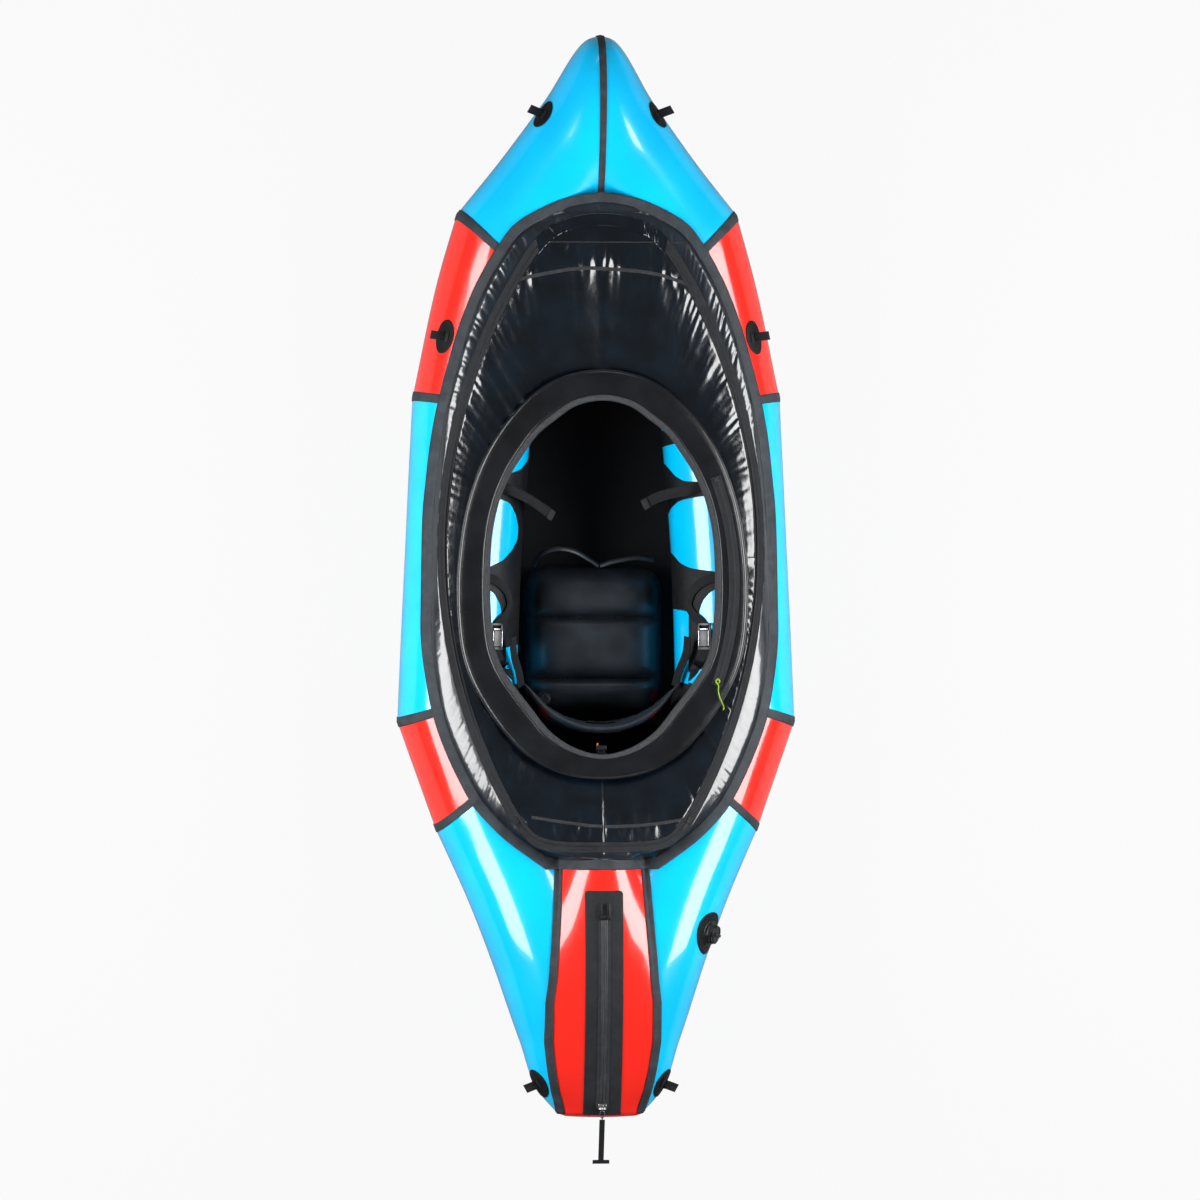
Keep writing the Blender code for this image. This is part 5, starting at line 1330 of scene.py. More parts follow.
class PACKRAFT_OT_seat(bpy.types.Operator):
    """Inflatable seat cushion with its valve, and the padded backrest"""

    bl_idname = "packraft.seat"
    bl_label = "Seat"

    def execute(self, context):
        self.cushion()
        self.front_flaps()
        self.valve()
        self.backrest()
        return {"FINISHED"}

    def cushion(self):
        low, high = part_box("seat_cushion")
        channels = (plan(0, 0.5375).y, plan(0, 0.5948).y)
        middle, reach = (high.y + low.y) / 2, (high.y - low.y) / 2

        def place(around, out):
            turn = 2 * math.pi * around
            corner = (abs(math.cos(turn)) ** 7 + abs(math.sin(turn)) ** 7) ** (-1 / 7)
            share = math.sin(math.pi * out)
            u, v = share * corner * math.cos(turn), share * corner * math.sin(turn)
            y = middle + v * reach
            over = out < 0.5
            bulge = (max(0.0, 1 - abs(u) ** 5) * max(0.0, 1 - abs(v) ** 6)) ** 0.5
            pinch = 0.0
            for channel in channels:
                pinch = max(pinch, fade(y - channel, 0.0105) * (1 - 0.6 * abs(u) ** 8))
            height = low.z + 0.005 + (high.z - low.z - 0.007) * bulge * (1 - 0.3 * pinch) if over else low.z
            puckers = bell(abs(u), 0.93, 0.06) * creases(y / 0.013, u * 3, 2.0)
            if over:
                height += 0.0016 * puckers * bulge + 0.0008 * noise.noise(Vector((u * 5, y * 20, 3)))
            return Vector((u * seat_half * (1 - 0.05 * abs(v) ** 6), y, height))

        item = finish(closed_shape(300, 190, place), "seat_cushion_cloth", "seat_cloth",
                      stands_for="seat_cushion", sharp=60.0)

    def front_flaps(self):
        """Welded edges of the cushion's front, which stand up in two arcs."""
        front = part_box("seat_cushion")[1].y
        arcs = {"left": ((-0.14, 0.002, 0.07), (-0.125, 0.028, 0.094), (-0.09, 0.041, 0.1),
                         (-0.045, 0.034, 0.09), (-0.005, 0.012, 0.07), (0.012, 0.001, 0.062)),
                "right": ((0.015, 0.001, 0.06), (0.05, 0.012, 0.07), (0.1, 0.02, 0.078),
                          (0.142, 0.014, 0.07))}
        for side, spots in arcs.items():
            points = [Vector((x, front + y, z)) for x, y, z in spots]
            flats = [Vector((0, 1.0, -0.35))] * len(points)
            ribbon(f"seat_flap_{side}", points, flats, 0.012, "seat_cloth", wall=0.0012, curl=0.002)

    def valve(self):
        low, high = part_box("seat_valve")
        base = Vector(((low.x + high.x) / 2, (low.y + high.y) / 2, low.z))
        profile = ((0.0, 0.0), (0.0165, 0.0), (0.0168, 0.0022), (0.0158, 0.0036), (0.0126, 0.0042),
                   (0.0122, 0.0062),
                   (0.0118, 0.0128), (0.0104, 0.0148), (0.007, 0.0153), (0.0066, 0.0136), (0.0, 0.0132))
        turned("seat_valve_body", base, z_axis, profile, steps=96, body="seat_valve", stands_for="seat_valve")

    def backrest(self):
        """Padded band, curved in plan, with a piped rim."""
        shares = ((0.0, 0.6402), (0.132, 0.6365), (0.269, 0.6226), (0.385, 0.5985))
        half = [plan(*pair) for pair in shares]
        curve = flipped(reversed(half[1:]), -1) + half
        low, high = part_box("backrest")
        start_y = half[0].y

        def spot_at(across, v):
            point = smooth_path(curve, across)
            run = path_way(curve, across)
            share = abs(2 * across - 1)
            bottom = low.z + 0.0005 + 0.08 * share ** 3
            top = high.z - 0.001 - 0.012 * share ** 2
            narrow, wrap = 0.86 + 0.14 * v, 0.3 + 0.7 * v
            spot = Vector((point.x * narrow, start_y + (point.y - start_y) * wrap,
                           bottom + (top - bottom) * v))
            return spot, Vector((run.y, -run.x, 0)), share

        def place(across, around):
            v = 0.5 - 0.5 * math.cos(2 * math.pi * around)
            front = around > 0.5
            spot, out, share = spot_at(across, v)
            thick = 0.027 * (1 - 0.65 * share ** 4)
            bulge = (1 - abs(2 * v - 1) ** 4) ** 0.5 * (1 - 0.34 * fade(v - 0.5, 0.06))
            bulge *= 1 - 0.3 * fade(v - 0.82, 0.04)
            bulge *= min(1.0, 9 * (1 - share)) ** 0.5
            pucker_depth = 0.0011 * creases(across * 24, v * 2, 6.0) * bulge
            reach = thick / 2 * max(bulge, 0.05) + pucker_depth
            return spot - out * reach if front else spot + out * reach

        item = finish(closed_shape(240, 120, place), "backrest_pad", "seat_cloth", body="backrest",
                      stands_for="backrest", sharp=60.0)
        rim = [spot_at(k / 24, 0.99)[0] for k in range(25)]
        cord_piece("backrest_rim", rim, 0.0028, "binding", body="backrest", sides=12)
        seat_side = [spot_at(0.4 + 0.2 * k / 8, 0.86) for k in range(9)]
        ribbon("backrest_label_band", [spot - out * 0.0125 for spot, out, _ in seat_side],
               [Vector((0, 0.2, 1))] * 9, 0.022, "webbing", body="backrest", wall=0.0014)


# Harness
# Hip strap on the tube, from its fixed end to the buckle and on: shares across and along
hip_path_shares = ((0.59, 0.5005), (0.53, 0.5035), (0.475, 0.5125), (0.455, 0.5255), (0.478, 0.536),
                   (0.515, 0.5435), (0.53, 0.555), (0.53, 0.5685), (0.5, 0.579))


class PACKRAFT_OT_harness(bpy.types.Operator):
    """Straps and buckles beside and behind the seat"""

    bl_idname = "packraft.harness"
    bl_label = "Harness"

    def execute(self, context):
        for side, sign in side_signs.items():
            self.hip(side, sign)
            self.thigh(side, sign)
        self.rear()
        return {"FINISHED"}

    def on_tube(self, across, along, lift):
        spot = plan(across, along)
        height = height_on(shapes["hull"], spot.x, spot.y)
        way = surface_way(shapes["hull"], spot)
        return Vector((spot.x, spot.y, height)) + way * lift, way

    def hip(self, side, sign):
        sizes = sizes_now("fittings")
        route = [Vector((across, along, 0)) for across, along in hip_path_shares]
        length = sizes_now("hull").length
        points, flats = [], []
        for k in range(25):
            share = k / 24
            spot = smooth_path(route, share)
            run = smooth_path(route, clamped(share + 0.02)) - smooth_path(route, clamped(share - 0.02))
            point, way = self.on_tube(spot.x, spot.y, 0.0042)
            points.append(point)
            flats.append(way.cross(Vector((run.x * half_width, -run.y * length, 0))).normalized())
        for across, along, height, flat in ((0.465, 0.588, 0.284, (-0.5, 0.3, -0.8)),
                                            (0.437, 0.5965, 0.288, (0, 0, -1))):
            points.append(plan(across, along, height))
            flats.append(Vector(flat))
        ribbon(f"hip_strap_webbing_{side}", flipped(points, sign), flipped(flats, sign), sizes.webbing,
               "webbing", stands_for=f"hip_strap_{side}", wall=sizes.webbing_wall)
        # Loose end that hangs beside the seat
        tail = [plan(0.437, 0.556, 0.262), plan(0.43, 0.572, 0.248), plan(0.402, 0.588, 0.222),
                plan(0.385, 0.602, 0.2)]
        ribbon(f"hip_strap_end_{side}", flipped(tail, sign), flipped([Vector((0.6, 0.2, 0.6))] * 4, sign),
               0.9 * sizes.webbing, "webbing", wall=sizes.webbing_wall)

        spot, up = self.on_tube(0.53, 0.5555, 0.0066)
        run = (y_axis - up * up.y).normalized()
        across = run.cross(up).normalized()
        spot, up, run, across = flipped((spot, up, run, across), sign)
        rails = ((0.0, 0.0145, 0.062, 0.005), (0.0, -0.0145, 0.062, 0.005), (0.0285, 0.0, 0.006, 0.032),
                 (0.003, 0.0, 0.006, 0.032), (-0.0165, 0.0, 0.029, 0.03))
        for k, (ahead, aside, long, wide) in enumerate(rails):
            block(f"buckle_rail_{side}_{k}", spot + run * ahead + across * aside + up * 0.002,
                  (run, across, up), (long, wide, 0.0042), "plastic", bevel=0.0011,
                  stands_for=f"buckle_frame_{side}" if k == 0 else None)
        lever = spot + up * 0.0062 - run * 0.004
        block(f"lever_plate_{side}", lever, (run, across, up), (0.042, 0.025, 0.0032), "plastic",
              body=f"buckle_lever_{side}", stands_for=f"buckle_lever_{side}", bevel=0.0012, taper=0.9)
        for k, aside in enumerate((-0.0125, 0.0125)):
            block(f"lever_edge_{side}_{k}", lever + across * aside, (run, across, up),
                  (0.036, 0.0013, 0.0028), "bright_metal", body=f"buckle_lever_{side}", bevel=0.0004)
        block(f"lever_end_{side}", lever + run * 0.0215, (run, across, up), (0.0016, 0.024, 0.003),
              "bright_metal", body=f"buckle_lever_{side}", bevel=0.0005)

    def thigh(self, side, sign):
        front, _ = self.on_tube(0.51, 0.4165, 0.003)
        alongs = (0.42, 0.423, 0.427, 0.434) if sign > 0 else (0.421, 0.4275, 0.4355, 0.4445)
        places = zip((0.44, 0.36, 0.29, 0.225), alongs, (0.262, 0.235, 0.21, 0.195))
        points = [front] + [plan(*spot) for spot in places]
        flats = [Vector((0.3, 1, 0.1))] * len(points)
        ribbon(f"thigh_strap_webbing_{side}", flipped(points, sign), flipped(flats, sign), 0.025, "webbing",
               stands_for=f"thigh_strap_{side}", wall=0.0016, curl=0.0012)
        end, before = points[-1], points[-2]
        run = (end - before).normalized()
        flat = (flats[0] - run * flats[0].dot(run)).normalized()
        spot, run, flat = flipped((end - run * 0.008 + z_axis * 0.0017, run, flat), sign)
        block(f"thigh_strap_fold_{side}", spot, (run, flat, run.cross(flat)), (0.017, 0.0255, 0.0022),
              "webbing", bevel=0.0007)

    def rear(self):
        level = (y_axis, x_axis, z_axis)
        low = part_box("rear_strap")[0]
        points = [Vector((0, low.y + 0.001, 0.2625)), plan(0, 0.72, 0.272), plan(0, 0.69, 0.278),
                  plan(0, 0.674, 0.2843)]
        ribbon("rear_strap_webbing", points, [x_axis] * 4, 0.025, "webbing", stands_for="rear_strap",
               wall=0.0018, curl=0.0008)
        socket = points[-1] + Vector((0, 0.013, 0.0002))
        for name, offset, size in (("floor", (0, 0, -0.0038), (0.03, 0.026, 0.0024)),
                                   ("right", (0.0113, 0, 0), (0.03, 0.0034, 0.0094)),
                                   ("left", (-0.0113, 0, 0), (0.03, 0.0034, 0.0094)),
                                   ("roof", (0, -0.0035, 0.0038), (0.022, 0.02, 0.0022)),
                                   ("bar", (0, -0.0135, 0), (0.003, 0.022, 0.008))):
            block(f"rear_socket_{name}", socket + Vector(offset), level, size, "plastic", bevel=0.0009)
        low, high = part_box("rear_buckle_plug")
        middle = (low + high) / 2
        head = Vector((middle.x, high.y - 0.0075, middle.z))
        block("rear_plug_head", head, level, (0.013, 0.025, 0.0085), "plastic",
              body="rear_buckle_plug", stands_for="rear_buckle_plug", bevel=0.0016, taper=0.92)
        for k, aside in enumerate((-0.0062, 0.0, 0.0062)):
            block(f"rear_plug_prong_{k}", Vector((aside, low.y + 0.0105, middle.z - 0.0003)), level,
                  (0.019, 0.0032, 0.0034), "plastic", body="rear_buckle_plug", bevel=0.0007)
        block("rear_plug_tab", head + Vector((-0.009, 0.0075, 0.0012)), level,
              (0.008, 0.0035, 0.0016), "orange", body="rear_buckle_plug", bevel=0.0005)


# Cockpit lining and floor; towards the rear the lining is a dark sheet painted as shade
# Edge of the black sheet on the tubes, as shares across and along; it leaves the hull's colour bare outside.
# Up to about 0.545 along it is lining cloth; from there rearward it is painted shade on the tube's steep
# inner side and, in its last piece to 0.66 along, under the coaming's rear edge
wall_along = 0.771
lining_and_shade_edges = {
    "right": ((0.36, 0.66), (0.37, 0.66), (0.3745, 0.322), (0.384, 0.326), (0.3935, 0.346), (0.4045, 0.384),
              (0.411, 0.43), (0.4125, 0.56), (0.4165, 0.66), (0.424, 0.66), (0.4255, 0.47), (0.4275, 0.402),
              (0.4345, 0.368), (0.4475, 0.352), (0.4635, 0.356), (0.4765, 0.372), (0.4875, 0.408),
              (0.4935, 0.462),
              (0.4955, 0.6), (0.499, 0.66), (0.5065, 0.66), (0.509, 0.6), (0.5145, 0.545), (0.523, 0.512),
              (0.533, 0.495), (0.545, 0.49), (0.552, 0.52), (0.56, 0.56), (0.583, 0.55), (0.592, 0.48),
              (0.597, 0.42), (0.604, 0.4), (0.607, 0.6), (0.66, 0.6)),
    "left": ((0.36, 0.66), (0.37, 0.66), (0.3745, 0.322), (0.388, 0.345), (0.3985, 0.39), (0.405, 0.465),
             (0.408, 0.56), (0.412, 0.66), (0.424, 0.66), (0.4275, 0.5), (0.4315, 0.445), (0.4415, 0.415),
             (0.4535, 0.4), (0.465, 0.405), (0.4755, 0.435), (0.4855, 0.485), (0.4925, 0.57), (0.4955, 0.66),
             (0.5065, 0.66), (0.509, 0.59), (0.5155, 0.53), (0.5265, 0.498), (0.537, 0.488), (0.545, 0.485),
             (0.552, 0.54), (0.558, 0.58), (0.6, 0.58), (0.66, 0.6)),
}
# Edge of the lining and painted-shade sheet towards the seat, where it ends short of the tube's side: shares
# across and along
lining_and_shade_inner = {"right": ((0.5325, 0.0), (0.5345, 0.449), (0.596, 0.449), (0.606, 0.449), (0.608, 0.0)),
                "left": ((0.568, 0.0), (0.57, 0.468), (0.608, 0.468), (0.61, 0.0))}


class PACKRAFT_OT_lining(bpy.types.Operator):
    """Floor sheet, bulkhead and the black cloth welded to the tubes inside the cockpit, which towards the
    rear is a dark sheet painted as shade
    """

    bl_idname = "packraft.lining"
    bl_label = "Floor and lining"

    def execute(self, context):
        self.floor()
        for side, sign in side_signs.items():
            self.tube_lining_and_shade(side, sign)
        return {"FINISHED"}

    def floor(self):
        node = nodes["floor_sheet"]
        rows = {}
        for vertex in node.data.vertices:
            if abs(vertex.co.y - plan(0, wall_along).y) > 0.004:
                key = round(vertex.co.y, 3)
                reach, height = rows.get(key, (0.0, -far))
                rows[key] = (max(reach, vertex.co.x), max(height, vertex.co.z))
        places = sorted(rows)
        reaches = [rows[key][0] for key in places]
        heights = [rows[key][1] for key in places]

        def place(along, across):
            y = places[0] + (places[-1] - places[0]) * along
            x = (2 * across - 1) * between(y, places, reaches)
            return Vector((x, y, between(y, places, heights)))

        def relief(point, along, across):
            still = math.sin(math.pi * across) * math.sin(math.pi * along)
            return -0.0008 * still * (0.5 + noise.noise(point * 6.0))

        shape = grid_shape(200, 60, place, towards=z_axis, smoothing=6, relief=relief)
        item = finish(shape, "floor_sheet_cloth", "floor_cloth", stands_for="floor_sheet",
                      wall=0.0012)
        floor_tree = tree_of(item)
        wall_y = plan(0, wall_along).y
        wall = [vertex.co for vertex in node.data.vertices if abs(vertex.co.y - wall_y) < 0.004]
        levels = sorted({round(point.z, 3) for point in wall})
        widths = [max(point.x for point in wall if round(point.z, 3) == level) for level in levels]
        back = min(point.y for point in wall)
        start = height_on(floor_tree, 0, back + 0.002)

        def upright(rise, across):
            z = start + (levels[-1] - start) * rise
            x = (2 * across - 1) * between(z, levels, widths)
            return Vector((x, back + 0.0012 + 0.0006 * noise.noise(Vector((x * 12, 0, z * 12))), z))

        shape = grid_shape(40, 40, upright, towards=y_axis)
        finish(shape, "bulkhead_cloth", "floor_cloth", wall=0.0008)

    def tube_lining_and_shade(self, side, sign):
        edge = lining_and_shade_edges[side]
        places = np.linspace(0.0, 9.0, 400)
        crest_shares = [share_at(tube_point(spot, math.radians(115), 0.0).y) for spot in places]
        first, last = edge[0][0], edge[-1][0]
        alongs = np.linspace(first, last, 900)
        kernel = np.hanning(19)
        even = np.pad(np.interp(alongs, *zip(*edge)), 9, mode="edge")
        rims = np.convolve(even, kernel / kernel.sum(), mode="valid")

        def place(along, across):
            share = first + (last - first) * along
            spot = between(share, crest_shares, places)
            rim = between(share, alongs, rims) * half_width
            turns = np.linspace(math.radians(60), math.radians(185), 26)
            reaches = [tube_point(spot, turn, 0.001).x for turn in turns]
            start = between(-rim, [-reach for reach in reaches], turns)
            inner = between(share, *zip(*lining_and_shade_inner[side]), left=0.0, right=0.0) * half_width
            end = between(-inner, [-reach for reach in reaches], turns) if inner > 0.15 else math.radians(205)
            turn = start + (max(end, start) - start) * across ** 1.3
            return mirrored(hull_point(spot, turn, 0.0012), sign)

        # Black lining cloth, and from about 0.545 along rearward a dark sheet that stands in for shade
        shape = grid_shape(420, 26, place, towards=Vector((-sign, 0, 1)))
        finish(shape, f"tube_lining_and_shade_{side}", "patch_cloth", "floor_cloth", wall=tape_wall, sharp=70.0)


# Fittings on the hull
# Tie loops: name, shares across and along, height over the tube's middle, lean in degrees, the patch's two
# reaches, and the loop's length
loop_spots = (
    ("bow", 0.289, 0.0731, 0.066, 38, 0.034, 0.03, 0.034),
    ("middle", 0.776, 0.2784, 0.098, 46, 0.04, 0.0255, 0.036),
    ("stern", 0.319, 0.9685, 0.028, 20, 0.036, 0.03, 0.03),
)


def hull_hit(across, along, rise, lean):
    """Spot on the right of the hull, aimed at its tube's middle from outside, and the way out of it."""
    aim = plan(across, along, middle_height(along) + rise)
    outward = Vector((math.cos(math.radians(lean)), 0.0, math.sin(math.radians(lean))))
    spot, normal, _, _ = shapes["hull"].ray_cast(aim + outward * 0.3, -outward)
    return spot, normal if normal.dot(outward) > 0 else -normal


def ways_along(way):
    """Level and sloping directions along a surface, from the direction out of it."""
    run = way.cross(z_axis).normalized()
    return run, way.cross(run).normalized()


def laid_patch(name, spot, way, reach_run, reach_rise, lift, look, slot=None, sign=1, stands_for=None,
               crown=0.0):
    """Round patch laid on the hull about a spot of its right half, mirrored for the left one."""
    run, rise = ways_along(way)

    def place(around, out):
        turn = 2 * math.pi * around
        start = (spot + way * 0.08 + run * (reach_run * out * math.cos(turn))
                 + rise * (reach_rise * out * math.sin(turn)))
        hit = shapes["hull"].ray_cast(start, -way, 0.16)[0] or start - way * 0.08
        point = hit + way * (lift + crown * (1 - out ** 6))
        return mirrored(point, sign)

    shape = grid_shape(64, 14, place, towards=mirrored(way, sign), closed=True)
    return finish(shape, name, look, slot, "boat", stands_for, skin_wall)


class PACKRAFT_OT_fittings(bpy.types.Operator):
    """Tie loops on round patches, and the inflation valve"""

    bl_idname = "packraft.fittings"
    bl_label = "Fittings"

    def execute(self, context):
        for row in loop_spots:
            for side, sign in side_signs.items():
                self.tie_loop(side, sign, *row)
        self.valve()
        return {"FINISHED"}

    def tie_loop(self, side, sign, name, across, along, height, lean, reach_run, reach_rise, length):
        spot, way = hull_hit(across, along, height, lean)
        node = f"{name}_tie_loop_{side}"
        laid_patch(f"{node}_patch", spot, way, reach_run, reach_rise, 0.0022, "patch_cloth", "webbing", sign,
                   node)
        run, rise = ways_along(way)
        out_way = (way + x_axis * 0.45).normalized()
        points = [spot + way * 0.0036 + out_way * (length * out) + rise * (aside * 0.0022)
                  for out, aside in ((0.0, 1), (0.35, 1), (0.75, 1.4), (0.93, 1.2), (0.995, 0), (0.93, -1.2),
                                     (0.75, -1.4), (0.35, -1), (0.0, -1))]
        ribbon(f"{node}_band", flipped(points, sign), flipped([run] * len(points), sign), 0.02, "webbing",
               wall=0.0014, rows=60)
        for k, aside in enumerate((-1, 1)):
            foot = spot + way * 0.0032 + rise * (aside * 0.008)
            foot, ahead, out, up = flipped((foot, run, rise, way), sign)
            block(f"{node}_foot_{k}", foot, (ahead, out, up), (0.021, 0.012, 0.0018), "webbing",
                  bevel=0.0005)

    def valve(self):
        # The cap turns about the CAD cap's own axis, so the whole valve is built on that
        cap_node = nodes["valve_cap"]
        points = [cap_node.matrix_world @ vertex.co for vertex in cap_node.data.vertices]
        middle = sum(points, Vector()) / len(points)
        way = Vector(np.linalg.svd(np.array([list(point - middle) for point in points]))[2][2])
        if way.z < 0:
            way = -way
        lowest = min((point - middle).dot(way) for point in points)
        spot = middle + way * (lowest - 0.0143)
        laid_patch("valve_patch", spot, way, 0.05, 0.05, 0.0018, "patch_cloth", "black_plastic",
                   stands_for="inflation_valve")
        laid_patch("valve_flange", spot, way, 0.03, 0.03, 0.003, "plastic", crown=0.0012)
        barrel = ((0.0, 0.002), (0.0265, 0.002), (0.0262, 0.0046), (0.0244, 0.0056), (0.0242, 0.0118),
                  (0.023, 0.0136), (0.0, 0.0138))
        turned("valve_barrel", spot, way, barrel, steps=96)
        base = spot + way * 0.0145
        cap = ((0.0, 0.0), (0.0208, 0.0), (0.0214, 0.0012), (0.0214, 0.0044), (0.0204, 0.0058),
               (0.0175, 0.0064), (0.0165, 0.0052), (0.0, 0.005))
        turned("valve_cap_disc", base, way, cap, steps=192, body="valve_cap", stands_for="valve_cap",
               ribs=36, rib_depth=0.0011)
        run, rise = ways_along(way)
        block("valve_cap_bar", base + way * 0.0078, (rise, run, way), (0.034, 0.0085, 0.007), "plastic",
              body="valve_cap", bevel=0.0018, taper=0.8)


# Cargo zip
class PACKRAFT_OT_cargo(bpy.types.Operator):
    """Watertight zip along the tail: patch, rails, docking end, slider, ring and pull strap"""

    bl_idname = "packraft.cargo"
    bl_label = "Cargo zip"

    def execute(self, context):
        self.patch()
        self.rails()
        self.slider()
        self.shown_nodes()
        return {"FINISHED"}

    def patch(self):
        low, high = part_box("cargo_zip")
        reach = high.x
        first, last = share_at(high.y) + 0.001, share_at(low.y)

        def place(along, across):
            share = first + (last - first) * along
            narrow = 1 - 0.16 * max(0.0, 1 - along / 0.012) ** 2
            x = (2 * across - 1) * reach * narrow
            return drape(x, plan(0, share).y, 0.0015, ("tail",))

        shape = grid_shape(260, 16, place, towards=z_axis, smoothing=2)
        item = finish(shape, "cargo_zip_patch", "zip_tape", stands_for="cargo_zip", wall=0.0006)
        shapes["cargo"] = tree_of(item)

    def on_patch(self, share):
        return drape(0.0, plan(0, share).y, 0.0, ("cargo",))

    def rails(self):
        """Two moulded rails with a groove between them, on a flat base."""
        profile = ((-0.0145, 0.0), (-0.0145, 0.0005), (-0.0072, 0.0006), (-0.0062, 0.0019), (-0.0038, 0.0022),
                   (-0.0014, 0.0019), (-0.0006, 0.0008), (0.0006, 0.0008), (0.0014, 0.0019), (0.0038, 0.0022),
                   (0.0062, 0.0019), (0.0072, 0.0006), (0.0145, 0.0005), (0.0145, 0.0))

        first, last = 0.816, 0.9905
        rib_count = 150

        def place(along, across):
            share = first + (last - first) * along
            spot = across * (len(profile) - 1)
            k = min(int(spot), len(profile) - 2)
            x, z = (profile[k][j] + (profile[k + 1][j] - profile[k][j]) * (spot - k) for j in (0, 1))
            return self.on_patch(share) + Vector((x, 0, z + 0.0002))

        def relief(point, along, across):
            rib = math.sin(along * 2 * math.pi * rib_count)
            return 0.00015 * rib if 0.25 < across < 0.75 else 0.0

        shape = grid_shape(900, 26, place, towards=z_axis, relief=relief, stretch=(0.44, 1.0))
        finish(shape, "cargo_zip_rails", "rail", sharp=50.0)
        dock = self.on_patch(0.808)
        way = surface_way(shapes["cargo"], dock, 0.01)
        run = x_axis.cross(way).normalized()
        for name, ahead, aside, size in (("base", 0.0, 0.0, (0.036, 0.03, 0.0028)),
                                         ("fork_right", -0.003, 0.0085, (0.03, 0.006, 0.0062)),
                                         ("fork_left", -0.003, -0.0085, (0.03, 0.006, 0.0062)),
                                         ("stop", 0.0125, 0.0, (0.007, 0.02, 0.0056))):
            block(f"cargo_dock_{name}", dock + run * ahead + x_axis * aside + way * (size[2] / 2 + 0.0006),
                  (run, x_axis, way), size, "plastic", slot="seam_tape", bevel=0.0011)

    def slider(self):
        low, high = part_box("cargo_zip_slider")
        share = share_at((low.y + high.y) / 2)
        way = surface_way(shapes["cargo"], self.on_patch(share), 0.01)
        way.x = 0.0
        way.normalize()
        run = x_axis.cross(way).normalized()
        middle = Vector((0, (low.y + high.y) / 2, (low.z + high.z) / 2)) - run * 0.0015
        block("cargo_slider_body", middle, (run, x_axis, way), (0.0155, 0.0225, 0.0056), "bright_metal",
              body="cargo_zip_slider", stands_for="cargo_zip_slider", bevel=0.0013, taper=0.8)
        block("cargo_slider_bridge", middle + way * 0.0031, (run, x_axis, way), (0.011, 0.006, 0.0016),
              "bright_metal", body="cargo_zip_slider", bevel=0.0006, taper=0.8)

    def shown_nodes(self):
        """Procedural looks for the CAD pieces that are shown as they are."""
        for name, look in (("pull_ring", "bright_metal"), ("pull_strap", "webbing"),
                           ("deck_zip_slider_right", "plastic"), ("deck_zip_slider_left", "plastic")):
            nodes[name].data.materials.clear()
            nodes[name].data.materials.append(shapes["looks"][look])


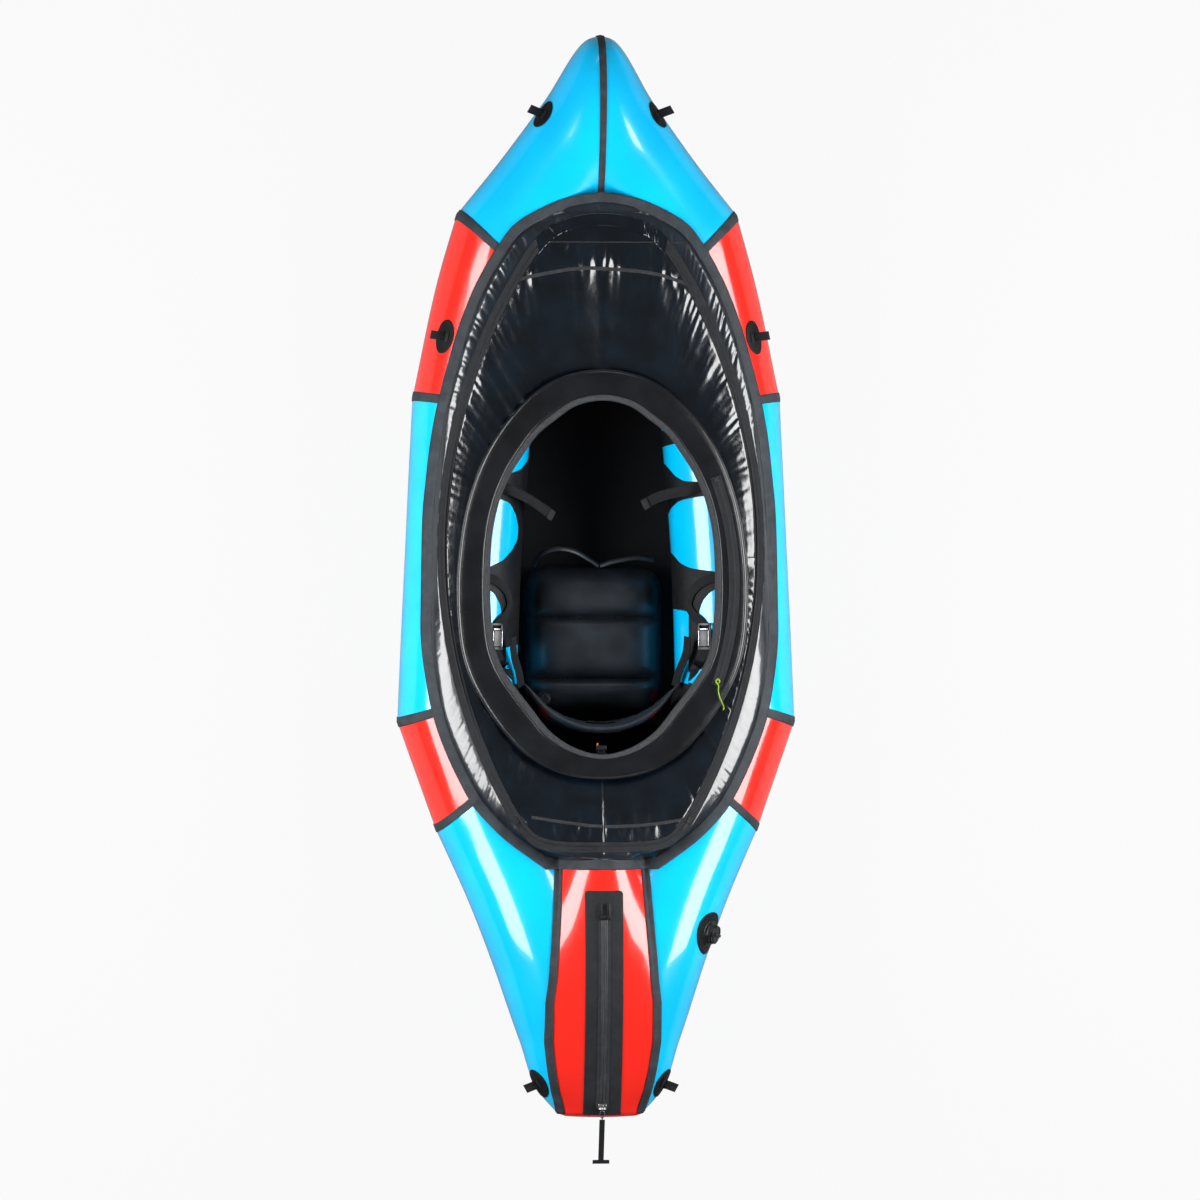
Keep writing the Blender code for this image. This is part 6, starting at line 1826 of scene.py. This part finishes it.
# Stage
class PACKRAFT_OT_stage(bpy.types.Operator):
    """Floor, lamps, world and camera"""

    bl_idname = "packraft.stage"
    bl_label = "Stage"

    def execute(self, context):
        sizes = context.scene.packraft_stage
        self.floor()
        self.lamps(sizes)
        self.world(sizes)
        self.camera(sizes)
        context.scene.view_settings.view_transform = "Standard"
        return {"FINISHED"}

    def floor(self):
        """Grey floor that looks nearly white to the camera itself."""
        look = Look("floor", Base_Color=(0.2, 0.2, 0.2, 1.0), Roughness=0.6)
        seen = Value(look, look.node("ShaderNodeLightPath").outputs["Is Camera Ray"])
        glow = look.node("ShaderNodeEmission", sockets={"Color": white})
        glow_share = 0.93
        mix = look.node("ShaderNodeMixShader", sockets={"Fac": seen * glow_share, 1: look.shader.outputs[0],
                                                        2: glow.outputs[0]})
        look.join(look.tree.nodes["Material Output"].inputs["Surface"], mix.outputs[0])
        shape = bmesh.new()
        bmesh.ops.create_grid(shape, x_segments=1, y_segments=1, size=40.0)
        mesh = bpy.data.meshes.new("floor")
        shape.to_mesh(mesh)
        shape.free()
        mesh.materials.append(look.material)
        linked("floor", mesh)

    def lamps(self, sizes):
        aim = Vector((0, 0, 0.2))
        for name, spot, size, power in (("right_lamp", Vector((2.25, 0, 1.75)), (2.3, 1.45), sizes.lamp),
                                        ("left_lamp", Vector((-2.25, 0, 1.75)), (2.3, 1.45), sizes.lamp),
                                        ("front_lamp", Vector((0, 3.6, 1.7)), (1.6, 0.7), 0.08 * sizes.lamp),
                                        ("rear_lamp", Vector((0, -3.6, 1.7)), (1.6, 0.7), 0.08 * sizes.lamp)):
            lamp = bpy.data.lights.new(name, "AREA")
            lamp.shape = "RECTANGLE"
            lamp.size, lamp.size_y = size
            lamp.energy = power
            item = linked(name, lamp)
            back = (spot - aim).normalized()
            side = z_axis.cross(back).normalized()
            rise = back.cross(side)
            item.matrix_world = Matrix.Translation(spot) @ Matrix((side, rise, back)).transposed().to_4x4()
            item.visible_camera = False

    def world(self, sizes):
        world = bpy.data.worlds.new("studio")
        world.use_nodes = True
        tree = world.node_tree
        dim = tree.nodes["Background"]
        dim.inputs["Color"].default_value = white
        dim.inputs["Strength"].default_value = sizes.sky
        bright = tree.nodes.new("ShaderNodeBackground")
        bright.inputs["Color"].default_value = white
        path = tree.nodes.new("ShaderNodeLightPath")
        mix = tree.nodes.new("ShaderNodeMixShader")
        tree.links.new(path.outputs["Is Camera Ray"], mix.inputs["Fac"])
        tree.links.new(dim.outputs[0], mix.inputs[1])
        tree.links.new(bright.outputs[0], mix.inputs[2])
        tree.links.new(mix.outputs[0], tree.nodes["World Output"].inputs["Surface"])
        bpy.context.scene.world = world

    def camera(self, sizes):
        lens = bpy.data.cameras.new("camera")
        lens.sensor_width = 36.0
        lens.lens = 36.0 * sizes.distance / sizes.width
        lens.clip_end = 400.0
        item = linked("camera", lens)
        lean = sizes.lean
        side = Vector((math.cos(lean), 0, math.sin(lean)))
        back = Vector((-math.sin(lean), 0, math.cos(lean)))
        aim = Vector((0, -0.0023, 0.25))
        item.matrix_world = (Matrix.Translation(aim + back * sizes.distance)
                             @ Matrix((side, y_axis, back)).transposed().to_4x4())
        bpy.context.scene.camera = item


steps = (PACKRAFT_OT_hull, PACKRAFT_OT_tapes, PACKRAFT_OT_deck, PACKRAFT_OT_coaming, PACKRAFT_OT_seat,
         PACKRAFT_OT_lining, PACKRAFT_OT_harness, PACKRAFT_OT_fittings, PACKRAFT_OT_cargo, PACKRAFT_OT_stage)


class PACKRAFT_PT_panel(bpy.types.Panel):
    """Buttons that build the packraft piece by piece"""

    bl_idname = "PACKRAFT_PT_panel"
    bl_label = "Packraft"
    bl_space_type = "VIEW_3D"
    bl_region_type = "UI"
    bl_category = "Packraft"

    def draw(self, context):
        for step in steps:
            self.layout.operator(step.bl_idname)


sizes_of = {"packraft_hull": HullSizes, "packraft_deck": DeckSizes, "packraft_fittings": FittingSizes,
            "packraft_stage": StageSizes}


def register():
    for group in sizes_of.values():
        bpy.utils.register_class(group)
    for step in steps:
        bpy.utils.register_class(step)
    bpy.utils.register_class(PACKRAFT_PT_panel)
    for name, group in sizes_of.items():
        setattr(bpy.types.Scene, name, PointerProperty(type=group))


def unregister():
    for name in sizes_of:
        delattr(bpy.types.Scene, name)
    bpy.utils.unregister_class(PACKRAFT_PT_panel)
    for step in reversed(steps):
        bpy.utils.unregister_class(step)
    for group in sizes_of.values():
        bpy.utils.unregister_class(group)


def main():
    register()
    make_looks()
    for step in steps:
        group, name = step.bl_idname.split(".")
        getattr(getattr(bpy.ops, group), name)()


if __name__ == "__main__":
    main()
